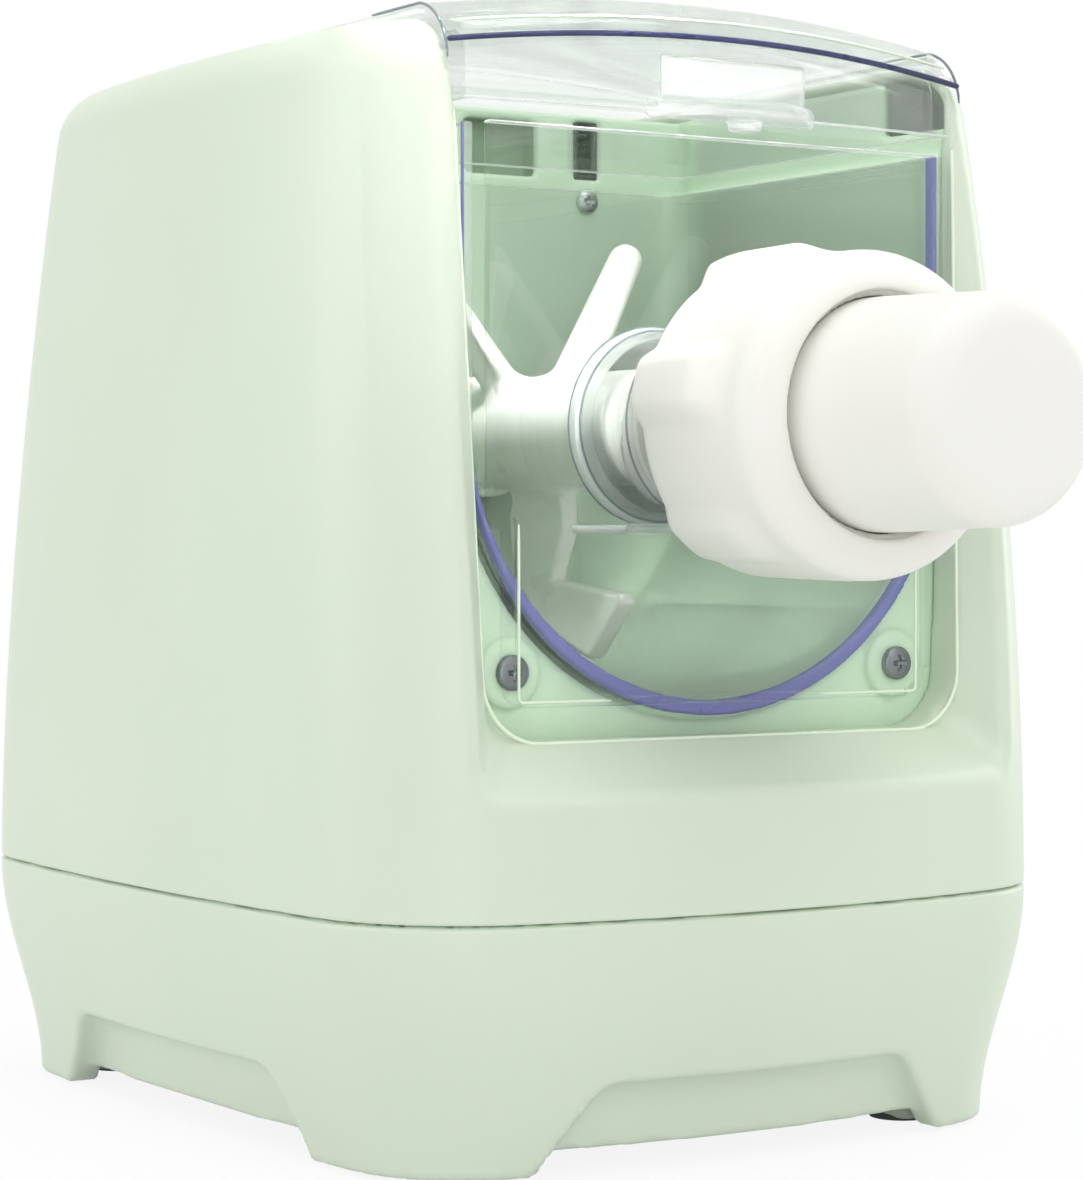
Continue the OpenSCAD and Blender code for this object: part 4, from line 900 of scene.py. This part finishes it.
def screw(name, cx, cz, head_r, y0, y1, y2, shank, replaced):
    """Cross-recess screw with the head from y0 to y1 and a threaded shank to y2."""
    def form(x, y, z):
        u, v = x - cx, z - cz
        r = length2(u, v)
        dome = length2(r, y - y0 - 2.6 * head_r) - 2.6 * head_r
        head = both(both(r - head_r, dome, 0.5), y - y1, 0.2)
        thread = shank - 0.25 * np.abs(np.mod(y * 0.8 + np.arctan2(v, u) / (2 * np.pi), 1) - 0.5)
        body = join(head, meet(r - thread, y0 + 0.5 - y, y - y2))
        arm_u = meet(np.abs(u) - 0.45 * head_r, np.abs(v) - 0.12 * head_r)
        arm_v = meet(np.abs(v) - 0.45 * head_r, np.abs(u) - 0.12 * head_r)
        recess = meet(join(arm_u, arm_v), y - y0 - 1.5 + 0.5 * r)
        return less(body, recess, 0.12)
    grid = [[(low - 0.4, high + 0.4, 0.3)] for low, high in
            ((cx - head_r, cx + head_r), (y0, y2), (cz - head_r, cz + head_r))]
    net_object(name, form, *grid, DARK if head_r > 4 else STEEL, "housing", replaced, "steel", 3)


screw("screw_in_wall", SLOT_X, SLOT_Z0 - 6, 3.4, LINER_BACK - 2, LINER_BACK, LINER_BACK + 9, 1.5,
      "wall_screw")
for side, tag in ((-1, "left"), (1, "right")):
    screw("screw_boss_" + tag, side * BOSS_X, BOSS_Z, 4.2,
          FLANGE_Y - 4.5, FLANGE_Y - 2, FLANGE_Y + 10, 2.2, "liner_screws")


def bent_leaf(z, flip):
    """Springy contact strip, bent towards the opening."""
    line = []
    for k in range(17):
        t = k / 16
        line.append((LINER_BACK + 6.9 - 5.2 * math.sin(math.pi * min(1, t * 1.15)) ** 1.2,
                     z + flip * (t - 0.5) * 3.1))
    points, faces = [], []
    for k, (a, b) in enumerate(line):
        for dx in (-1.9, 1.9):
            for dy in (0, 0.35):
                points.append((SLOT_X + dx * (1 - 0.35 * (k / 16)), a + dy, b))
    for k in range(16):
        i = 4 * k
        for a, b in ((0, 1), (1, 3), (3, 2), (2, 0)):
            faces.append((i + a, i + b, i + 4 + b, i + 4 + a))
    faces += [(0, 2, 3, 1), (64, 65, 67, 66)]
    return points, faces


points, faces = [], []
for i in range(4):
    p, f = bent_leaf(SLOT_Z0 + 3 + i * 3.3, 1 if i % 2 else -1)
    faces += [tuple(v + len(points) for v in face) for face in f]
    points += p
leaves = mesh_object("leaves", points, faces, STEEL)
leaves.data.set_sharp_from_angle(angle=math.radians(35))
place(leaves, "housing", "contact_leaves")


def socket_form(x, y, z):
    body = box3(x, y, z, (SLOT_X - 3.9, LINER_BACK + 0.2, SLOT_Z0 + 0.1),
                (SLOT_X + 3.9, LINER_BACK + 9, SLOT_Z1 - 0.1), 0.4)
    room = box3(x, y, z, (SLOT_X - 2.6, LINER_BACK - 4, SLOT_Z0 + 1.4),
                (SLOT_X + 2.6, LINER_BACK + 7, SLOT_Z1 - 1.4), 0.3)
    return less(body, room, 0.25)


net_object("socket", socket_form, [(SLOT_X - 4.3, SLOT_X + 4.3, 0.4)],
           [(LINER_BACK - 0.2, LINER_BACK + 9.5, 0.45)], [(SLOT_Z0 - 0.3, SLOT_Z1 + 0.3, 0.45)],
           BLACK, "housing", "interlock_socket", "black_plastic")

# ---- Mixing chamber, its seal and the front plate ----


def chamber_form(x, y, z):
    u = reach(x, z)
    shell = both(u - CHAMBER_R, y - CHAMBER_BACK, 9)
    lip = meet(u - CHAMBER_R - RIM_OUT, y - CHAMBER_FRONT - 3)
    rim = meet(both(np.abs(x) - CHAMBER_R - RIM_OUT, y - CHAMBER_BACK, 10), CHAMBER_TOP - 2.5 - z)
    outer = join(shell, lip, rim)
    outer = both(outer, meet(z - CHAMBER_TOP, CHAMBER_FRONT - y), 0.6)
    inner = both(u - CHAMBER_R + CHAMBER_WALL, y - CHAMBER_BACK + CHAMBER_WALL + 0.3, 7)
    body = less(outer, inner, 0.6)
    return meet(body, -rod_y(x, y, z, 11, 4, 20))


trough = net_object(
    "trough", chamber_form,
    [(-71, 71, 1.2)], [(-102.2, -97, 0.65), (-97, -2, 5), (-2, 13, 0.8)],
    [(105.5, 176, 1.2), (176, 238, 4), (238, 245, 0.6)],
    CLEAR_THICK, "chamber", "mixing_chamber", "clear_plastic")
second_finish(trough, TROUGH, lambda x, y, z: (z < AXIS_Z - 12) & (y > CHAMBER_FRONT + 2))
# Painted highlight on the trough's top rim and on its front edge above the axis
second_finish(trough, CLEAR_EDGE_HIGHLIGHT, lambda x, y, z: (z > CHAMBER_TOP - 0.7)
              | ((y < CHAMBER_FRONT + 0.4) & (z > AXIS_Z)))


def leg_share(z):
    return ease((z - AXIS_Z + 16) / 26)


def seal_part(outer, inner, x, y, z):
    """Band round the mouth of the chamber between two distances from its middle."""
    u = reach(x, z)
    ring = meet(u - outer, inner - u)
    front = SEAL_FRONT + np.where(x > 0, 0, 2.2) * leg_share(z)
    depth = meet(front - y, y - CHAMBER_FRONT)
    return both(both(ring, depth, 0.3), z - CHAMBER_TOP, 0.3)


def seal_width(x, z):
    """Widest at the bottom and thin on the two legs."""
    t = np.clip((z - AXIS_Z + CHAMBER_R) / 62, 0, 1)
    return 3.8 - np.where(x > 0, 2.4, 3.1) * t


def seal_edge(x, z):
    """The lip keeps to the outside on the left leg and to the inside on the right one."""
    return CHAMBER_R + RIM_OUT - np.where(x > 0, 1.9, 0.1) * leg_share(z)


def seal_form(x, y, z):
    edge = seal_edge(x, z)
    return seal_part(edge, edge - seal_width(x, z), x, y, z)


def seal_carrier_form(x, y, z):
    """The clear strip that holds the lip on the right leg."""
    body = seal_part(CHAMBER_R + RIM_OUT, seal_edge(x, z) + 0.05, x, y, z)
    return meet(body, AXIS_Z - 8 - z, 10 - x)


seal_lines = [(-71, -65.6, 0.45), (-65.6, 65.6, 1.0), (65.6, 71, 0.45)]
net_object("seal", seal_form, seal_lines, [(-104.9, -100.9, 0.45)],
           [(104.5, 190, 1.0), (190, 240, 4), (240, 245, 0.6)],
           VIOLET, "chamber", "chamber_seal", "violet_seal")
net_object("seal_carrier", seal_carrier_form, [(65.6, 71, 0.45)], [(-104.9, -100.9, 0.45)],
           [(160, 190, 1.0), (190, 240, 4), (240, 245, 0.6)],
           CLEAR, "chamber", "chamber_seal", "clear_plastic")

PLATE_TOP = AXIS_Z - 26
PLATE_Z = AXIS_Z - 67
PLATE_HALF, PLATE_LOW_HALF = 66.0, 62.0


def plate_form(x, y, z):
    ax = np.abs(x)
    sheet = join(meet(ax - PLATE_HALF, PLATE_TOP - z), both(ax - PLATE_LOW_HALF, PLATE_Z - z, 6))
    sheet = meet(sheet, z - CHAMBER_TOP)
    sheet = both(sheet, np.abs(y - (PLATE_FRONT + PLATE_REAR) / 2) - 1.75, 0.6)
    rib = box3(ax, y, z, (PLATE_LOW_HALF - 2, PLATE_FRONT - 2, PLATE_Z + 7),
               (PLATE_LOW_HALF, PLATE_FRONT + 1, PLATE_TOP + 3), 0.5)
    rail = box3(x, y, z, (-55, PLATE_FRONT - 2, PLATE_Z), (55, PLATE_FRONT + 1, PLATE_Z + 2), 0.5)
    chute = box3(x, y, z, (-26, PLATE_REAR - 1, AXIS_Z - TUBE_R - 3),
                 (26, TUBE_REAR - 2, AXIS_Z - TUBE_R - 1), 0.5)
    body = either(sheet, join(rib, rail), 0.6)
    body = either(body, chute, 0.8)
    return less(body, rod_y(x, y, z, TUBE_R, -112, -104.2), 0.4)


plate = net_object(
    "plate", plate_form,
    [(-66.8, 66.8, 1.15)], [(-110.5, -103.9, 0.5), (-103.9, -78, 3.2)],
    [(107.8, 118, 0.8), (118, 146, 2.2), (146, 203, 1.1), (203, 240, 3), (240, 245, 0.6)],
    CLEAR_THICK, "plate", "front_plate", "clear_plastic")
# Painted highlight on the plate's top edge and on the chute behind it
second_finish(plate, CLEAR_EDGE_HIGHLIGHT, lambda x, y, z: (z > CHAMBER_TOP - 0.4) | (y > PLATE_REAR + 0.5))

# Painted highlights: pale beads along the edges of the plate's ribs
for side, tag, top, end in ((-1, "left", 151, 33), (1, "right", 144, 28)):
    line = [(58.7, z) for z in np.linspace(top, 111, 12)]
    line += [(57.5 + 1.2 * math.cos(a), 110.9 - 1.2 * math.sin(a)) for a in (0.4, 0.8, 1.2)]
    line += [(x, 109.7) for x in np.linspace(57, end, 10)]
    line = [(side * x, PLATE_FRONT - 0.1, z) for x, z in line]
    bead("plate_line_" + tag, line, 0.36, PAINTED_HIGHLIGHT, "plate", "front_plate")

INNER = TUBE_R - TUBE_WALL
tube = rounded(
    [(TUBE_R, TUBE_FRONT), (TUBE_R, TUBE_REAR - 3.6), (TUBE_R + 1, TUBE_REAR - 3),
     (TUBE_R + 1, TUBE_REAR), (INNER, TUBE_REAR), (INNER, TUBE_REAR - 6),
     (INNER + 0.5, TUBE_REAR - 7), (INNER + 0.5, TUBE_REAR - 24), (INNER, TUBE_REAR - 25),
     (INNER, TUBE_FRONT)],
    [0.7, 0.4, 0.6, 0.7, 0.7, 0.3, 0.3, 0.3, 0.3, 0.7])
tube = place(revolved("tube", tube, TUBE), "plate", "extrusion_tube")
# Painted highlight on the tube's rear end
second_finish(tube, CLEAR_EDGE_HIGHLIGHT, lambda x, y, z: y > TUBE_REAR - 3.8)
for k, (r, y) in enumerate(((TUBE_R + 1, -0.4), (TUBE_R + 0.1, -4.2), (TUBE_R, -24))):
    ring = [(r * math.cos(a), TUBE_REAR + y, AXIS_Z + r * math.sin(a))
            for a in np.linspace(0, 2 * math.pi, 73)]
    bead("tube_line_%d" % k, ring, 0.28, EDGE_SHADE, "plate", "extrusion_tube")


def sector(x, z, first, half, count):
    """Angle in degrees outside the nearest of several even sectors."""
    a = np.degrees(np.arctan2(z - AXIS_Z, x)) - first
    pitch = 360 / count
    return np.abs(np.mod(a + pitch / 2, pitch) - pitch / 2) - half


def lug_form(x, y, z):
    r = length2(x, z - AXIS_Z)
    ring = meet(r - TUBE_R - 5, TUBE_R - 0.4 - r)
    body = both(ring, sector(x, z, 90, 17, LUGS) * np.radians(1) * r, 0.8)
    return both(body, np.abs(y - LUG_Y) - 2, 0.7)


net_object("lugs", lug_form, [(-29.2, 29.2, 0.8)], [(-138.6, -133.4, 0.65)],
           [(AXIS_Z - 29.2, AXIS_Z + 29.2, 0.8)],
           CLEAR, "plate", "extrusion_tube", "clear_plastic")

# ---- Locking nut and end cap ----


def nut_form(x, y, z):
    f = NUT_REAR - y
    r = length2(x, z - AXIS_Z)
    skin = NUT_R + 0.9 + 0.6 * np.clip(f / 31, 0, 1)
    ridge = 1 - ease(sector(x, z, RIDGE_AT, RIDGE_HALF, RIDGES) / 10)
    ridge = ridge * (1 - ease((f - 21) / 13)) * np.clip((z - AXIS_Z) / 40 + 1.25, 0.35, 1)
    outer = both(both(r - skin - RIDGE_OUT * ridge, f - NUT_REAR + NUT_FRONT, 8), -f, 1.6)
    notch = both(r - 29, sector(x, z, 50, 20, LUGS) * np.radians(1) * r, 0.8)
    bore = join(meet(r - 24.1, f - 9), meet(notch, f - 9), meet(r - 29.5, 8 - f, f - 31.3),
                r - CAP_R - 0.3 + np.clip(30 - f, 0, 40) * 3, meet(r - CAP_R - 1.6, 42.4 - f))
    return less(outer, bore, 1.2)


net_object("nut", nut_form, [(-41.8, 41.8, 1.0)], [(-171.6, -125.3, 1.0)],
           [(AXIS_Z - 41.8, AXIS_Z + 41.8, 1.0)],
           IVORY_MATT, "nut", "locking_nut", "ivory_plastic")

cap = rounded(
    [(0, CAP_FRONT), (8, CAP_FRONT + 0.15), (CAP_R - 1.2, CAP_FRONT + 0.5),
     (CAP_R, CAP_BASE - 14), (CAP_R, CAP_BASE), (CAP_R - CAP_WALL, CAP_BASE),
     (CAP_R - CAP_WALL, CAP_BASE - 14), (CAP_R - 3.4, CAP_FRONT + 2.4), (0, CAP_FRONT + CAP_WALL)],
    [0, 0, 15, 0, 0.7, 0.5, 0, 12, 0], 12)
place(revolved("cap", cap, IVORY_MATT, segments=192, closed=False),
      "cap", "end_cap")

# ---- Mixing paddle and auger ----

REACH = CHAMBER_R - CHAMBER_WALL - 4
HUB_FRONT = -77.5
LEAF_ANGLE = 123.5
AUGER_LENGTH, AUGER_TURNS, AUGER_R, AUGER_CORE = 71.5, 2.25, 17.0, 7


def at_angle(r, degrees, y):
    a = math.radians(degrees)
    return (r * math.cos(a), y, AXIS_Z + r * math.sin(a))


def shrunk(points, d):
    """Closed clockwise outline moved inwards by d."""
    def inward(a, b):
        e = np.array(b, float) - a
        return np.array([e[1], -e[0]]) / np.linalg.norm(e)
    out = []
    for i, b in enumerate(points):
        n1, n2 = inward(points[i - 1], b), inward(b, points[(i + 1) % len(points)])
        out.append(tuple(np.array(b, float) + (n1 + n2) * d / max(0.3, float(1 + n1 @ n2))))
    return out


# Depth, and height as a share of the reach
SCRAPER = [(-19, -0.12), (-14, -0.35), (-15, -0.5), (-19, -0.64), (-26, -0.75), (-37, -0.85),
           (-50, -0.925), (-53, -0.925), (-67, -0.7), (-65.5, -0.66), (-35, -0.61), (-41, -0.4),
           (-39, -0.12)]
SCRAPER = shrunk([(a, AXIS_Z + b * REACH) for a, b in SCRAPER], 1.0)


def paddle_form(x, y, z):
    hub = rod_y(x, y, z, 14.5, HUB_FRONT, 5, edge=1.2)
    collar = rod_y(x, y, z, 16.5, -1, 5, edge=1.0)
    rod = capsule(x, y, z, at_angle(10.5, 57, -29), at_angle(55.3, 57, -21), 6, 4.5)
    stem = capsule(x, y, z, at_angle(10.5, 122, -20), at_angle(50.8, 122, -12), 5, 3.6)
    a = math.radians(LEAF_ANGLE)
    s = x * math.cos(a) + (z - AXIS_Z) * math.sin(a)
    t = -x * math.sin(a) + (z - AXIS_Z) * math.cos(a)
    mid = -14 + 4 * (s - 28) / 25
    wide = np.interp(s, (20, 36, 57.5), (10.0, 11.0, 4.5))
    cup = 2.4 * ((y - mid) / wide) ** 2 - 1.2
    leaf = both(np.abs(y - mid) - wide, meet(18 - s, s - 57.3), 4.0)
    leaf = both(leaf, np.abs(t - cup) - 1.4, 0.9)
    blade = both(polygon2(y, z, SCRAPER) - 1.0, np.abs(x) - 2.5, 1.3)
    body = either(either(hub, collar, 1.0), rod, 4.0)
    body = either(body, either(stem, leaf, 3.0), 3.5)
    body = either(body, blade, 4.0)
    sides = (np.abs(x * math.cos(b) + (z - AXIS_Z) * math.sin(b)) - 6.15
             for b in (0, math.pi / 3, math.pi * 2 / 3))
    return less(body, meet(*sides, -15 - y), 0.4)


# The paddle takes the lighter copy of the ivory: painted light
net_object(
    "paddle", paddle_form,
    [(-45, -4, 1.2), (-4, 4, 0.8), (4, 40, 1.2)], [(-78.5, 6, 1.25)],
    [(115, 232, 1.15)],
    IVORY_PAINTED_LIGHT, "mixing_shaft", "mixing_paddle", "ivory_plastic")


def auger_form(x, y, z):
    h = HUB_FRONT - y
    a = -2 * np.pi * AUGER_TURNS * h / AUGER_LENGTH
    u = x * np.cos(a) + (z - AXIS_Z) * np.sin(a)
    v = -x * np.sin(a) + (z - AXIS_Z) * np.cos(a)
    t = np.clip(u / AUGER_R, 0, 1)
    web = length2(u - AUGER_R * t, v) - (AUGER_CORE - 3.9 * t)
    return both(join(web, length2(u, v) - AUGER_CORE) * 0.8, meet(-h, h - AUGER_LENGTH), 0.8)


# The auger takes the lighter copy of the ivory: painted light
net_object("auger", auger_form, [(-20.8, 20.8, 1.0)], [(-149.8, -77, 0.9)],
           [(AXIS_Z - 20.8, AXIS_Z + 20.8, 1.0)],
           IVORY_PAINTED_LIGHT, "mixing_shaft", "extruder_auger", "ivory_plastic")

# ---- Lid ----

CROWN_R = (LID_HALF ** 2 + LID_CROWN ** 2) / (2 * LID_CROWN)
CROWN_Z = LID_TOP - CROWN_R
GROOVE_DEEP = 9.9
PIN_BORE = 1.9
LID_SIDE = LID_HALF - 0.4
LID_BOW = 5.5


def lid_front(x):
    """The lid's front bows forward like the housing's."""
    return LID_FRONT + LID_BOW * (x / LID_HALF) ** 2


def lid_form(x, y, z):
    ax = np.abs(x)
    front_y = lid_front(x)
    crown = length2(x, z - CROWN_Z) - CROWN_R
    nose = both(front_y - y, crown, LID_NOSE)
    wide = both(meet(nose, y - LID_REAR), ax - LID_HALF, 2.5)
    wide = meet(wide, RIM_Z - z)
    wrap = meet(nose, ax - LID_HALF, y - front_y - LID_WALL, BODY_H - 7 - z)
    skirt = meet(both(ax - LID_INNER_HALF, y - CHAMBER_BACK, 6), nose, BODY_H - LID_SKIRT - z)
    solid = join(wide, wrap, skirt)
    room = both(front_y + LID_WALL - y, crown + LID_WALL, LID_NOSE - LID_WALL)
    room = both(room, ax - LID_INNER_HALF + LID_WALL, 2)
    front = both(room, y - CHAMBER_BACK + LID_WALL, 4)
    rear = meet(room, CHAMBER_BACK - y, y - LID_REAR + LID_WALL)
    body = less(solid, join(front, rear), 0.5)
    groove = meet(np.abs(crown + GROOVE_DEEP) - 0.7, y - front_y - 1.05)
    body = meet(body, -groove, 0.35 - upper_housing_form(x, y, z))
    ends = ax - LID_INNER_HALF + 1
    corner = (LID_INNER_HALF - 1, HINGE_Y + 1, RIM_Z + 2)
    web = box3(ax, y, z, (-80, LID_REAR - 1, RIM_Z), corner, 0.4)
    drop = box3(ax, y, z, (-80, HINGE_Y - 2, HINGE_Z), corner, 0.4)
    to_pin = length2(y - HINGE_Y, z - HINGE_Z)
    hinge = join(web, drop, both(to_pin - 4, ends, 0.6))
    return join(body, meet(hinge, PIN_BORE - to_pin))


lid = net_object(
    "lid", lid_form, [(-76.8, -66, 0.9), (-66, 66, 3), (66, 76.8, 0.9)],
    [(-110.7, -94, 0.75), (-94, 6, 4), (6, 34, 0.8)], [(248.4, 277.6, 0.7)],
    CLEAR, "lid", "lid_shell", "clear_plastic")
# Painted highlight on the lower edge of the lid's skirt and on the lid's two ends
second_finish(lid, CLEAR_EDGE_HIGHLIGHT, lambda x, y, z: (z < BODY_H - LID_SKIRT + 0.6)
              | (np.abs(x) > LID_HALF - 0.5))


def nose_point(x, drop):
    """Point of the lid's rounded front, a way below its crown."""
    z = CROWN_Z + math.sqrt((CROWN_R - drop) ** 2 - x * x)
    back = LID_NOSE - math.sqrt(max(LID_NOSE ** 2 - max(LID_NOSE - drop, 0) ** 2, 0))
    return (x, lid_front(x) + back, z)


# Painted highlight: a pale bead across the lid's rounded front
bead("lid_line_front", [nose_point(x, 5.5) for x in np.linspace(-73, 73, 40)], 0.4, PAINTED_HIGHLIGHT,
     "lid", "lid_shell")
for side, tag in ((-1, "left"), (1, "right")):
    drops = (14, 12, 10, 8, 6, 4.5, 3, 2, 1.2, 0.6, 0.2)
    line = [nose_point(side * LID_SIDE, drop) for drop in drops]
    line += [(side * LID_SIDE, y, line[-1][2]) for y in np.linspace(line[-1][1] + 3, -70, 8)]
    bead("lid_line_" + tag, line, 0.35, EDGE_SHADE, "lid", "lid_shell")


def gasket_form(x, y, z):
    band = np.abs(length2(x, z - CROWN_Z) - CROWN_R + GROOVE_DEEP) - 0.65
    band = both(band, np.abs(y - lid_front(x) - 0.3) - 0.65, 0.3)
    return both(band, np.abs(x) - LID_HALF + 0.3, 0.5)


net_object("lid_seal", gasket_form, [(-76.2, 76.2, 1.5)], [(-110.8, -103, 0.3)],
           [(260.4, 268.4, 0.3)], DARK_SEAL, "lid", "lid_gasket", "violet_seal")


def tab_form(x, y, z):
    ax = np.abs(x)
    sheet = box3(x, y, z, (-21, LID_FRONT - 2.5, 250), (21, LID_FRONT, 262), 0.9)
    arc = length2(x, y + 96.67) - 28.33
    ledge = meet(both(arc, np.abs(z - 249) - 2, 1.4), ax - 25, y - LID_FRONT)
    nub = meet(both(length2(x, y + 116) - 4, CHAMBER_TOP + 0.5 - z, 1.0), z - 248)
    return either(either(sheet, ledge, 1.2), nub, 0.8)


net_object("tab", tab_form, [(-25.6, 25.6, 0.8)], [(-125.6, -109.6, 0.5)],
           [(244, 262.6, 0.5)], FROSTED, "lid", "lid_tab", "clear_plastic")

# ---- Controls and feet ----

PANEL_TOP = BODY_H + 0.2
BUTTON_Y = PANEL_Y + 13
BUTTON_R = 7


def button_x(i):
    return (i - 1.5) * 19


def panel_form(x, y, z):
    half, far = PANEL_W / 2 - 0.2, PANEL_Y + PANEL_D - 0.2
    body = box3(x, y, z, (-half, PANEL_Y + 0.2, BODY_H - PANEL_SEAT), (half, far, PANEL_TOP), 0.5)
    holes = (length2(x - button_x(i), y - BUTTON_Y) - BUTTON_R - 0.3 for i in range(4))
    body = less(body, join(*holes), 0.45)
    window = both(np.abs(x) - 26, np.abs(y - PANEL_Y - 29.5) - 6, 0.8)
    return less(body, window, 0.4)


net_object("panel", panel_form, [(-56.4, 56.4, 0.9)],
           [(PANEL_Y - 0.4, PANEL_Y + PANEL_D + 0.4, 0.9)], [(BODY_H - 2.9, PANEL_TOP + 0.5, 0.5)],
           IVORY, "housing", "control_panel", "ivory_plastic")


def display_form(x, y, z):
    pane = box3(x, y, z, (-25.8, PANEL_Y + 23.7, BODY_H - 3),
                (25.8, PANEL_Y + 35.3, BODY_H + 0.1), 0.3)
    foot = box3(x, y, z, (-28, PANEL_Y + 22, BODY_H - 3.9),
                (28, PANEL_Y + 36.8, BODY_H - PANEL_SEAT), 0.2)
    return join(pane, foot)


net_object("display", display_form, [(-28.6, 28.6, 0.9)], [(PANEL_Y + 21.5, PANEL_Y + 37.3, 0.6)],
           [(BODY_H - 4.4, BODY_H + 0.5, 0.35)],
           GLASS, "housing", "display_window", "black_glass")

for i, key in enumerate(("power", "program", "weight", "start")):
    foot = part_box(key + "_button")[0][2] / MM
    top = BODY_H + 0.6
    low = BODY_H - PANEL_SEAT - 0.1
    outline = rounded(
        [(0, top - 0.45), (5.2, top - 0.25), (6.1, top), (BUTTON_R, top), (BUTTON_R, low), (8, low),
         (8, low - 1.5), (2.5, low - 1.5), (2.5, foot), (0, foot)],
        [0, 1, 0.5, 0.6, 0.2, 0.2, 0.2, 0.2, 0.4, 0], 4)
    ob = revolved("key_" + key, outline, IVORY, "z", (button_x(i), BUTTON_Y), 72, False)
    place(ob, key + "_key", key + "_button")

for sx in (-1, 1):
    for sy in (-1, 1):
        outline = rounded(
            [(0, 0), (5.2, 0), (5.6, 0.5), (7.1, 0.5), (7.4, 0), (8, 0), (8, 3), (0, 3)],
            [0, 0.2, 0.2, 0.2, 0.2, 0.5, 0.3, 0], 3)
        ob = revolved("pad", outline, RUBBER, "z", (sx * FOOT_X, MID + sy * FOOT_Y), 64, False)
        ob.name = "pad_" + ("left" if sx < 0 else "right") + ("_front" if sy < 0 else "_rear")
        place(ob, "housing", "rubber_feet")
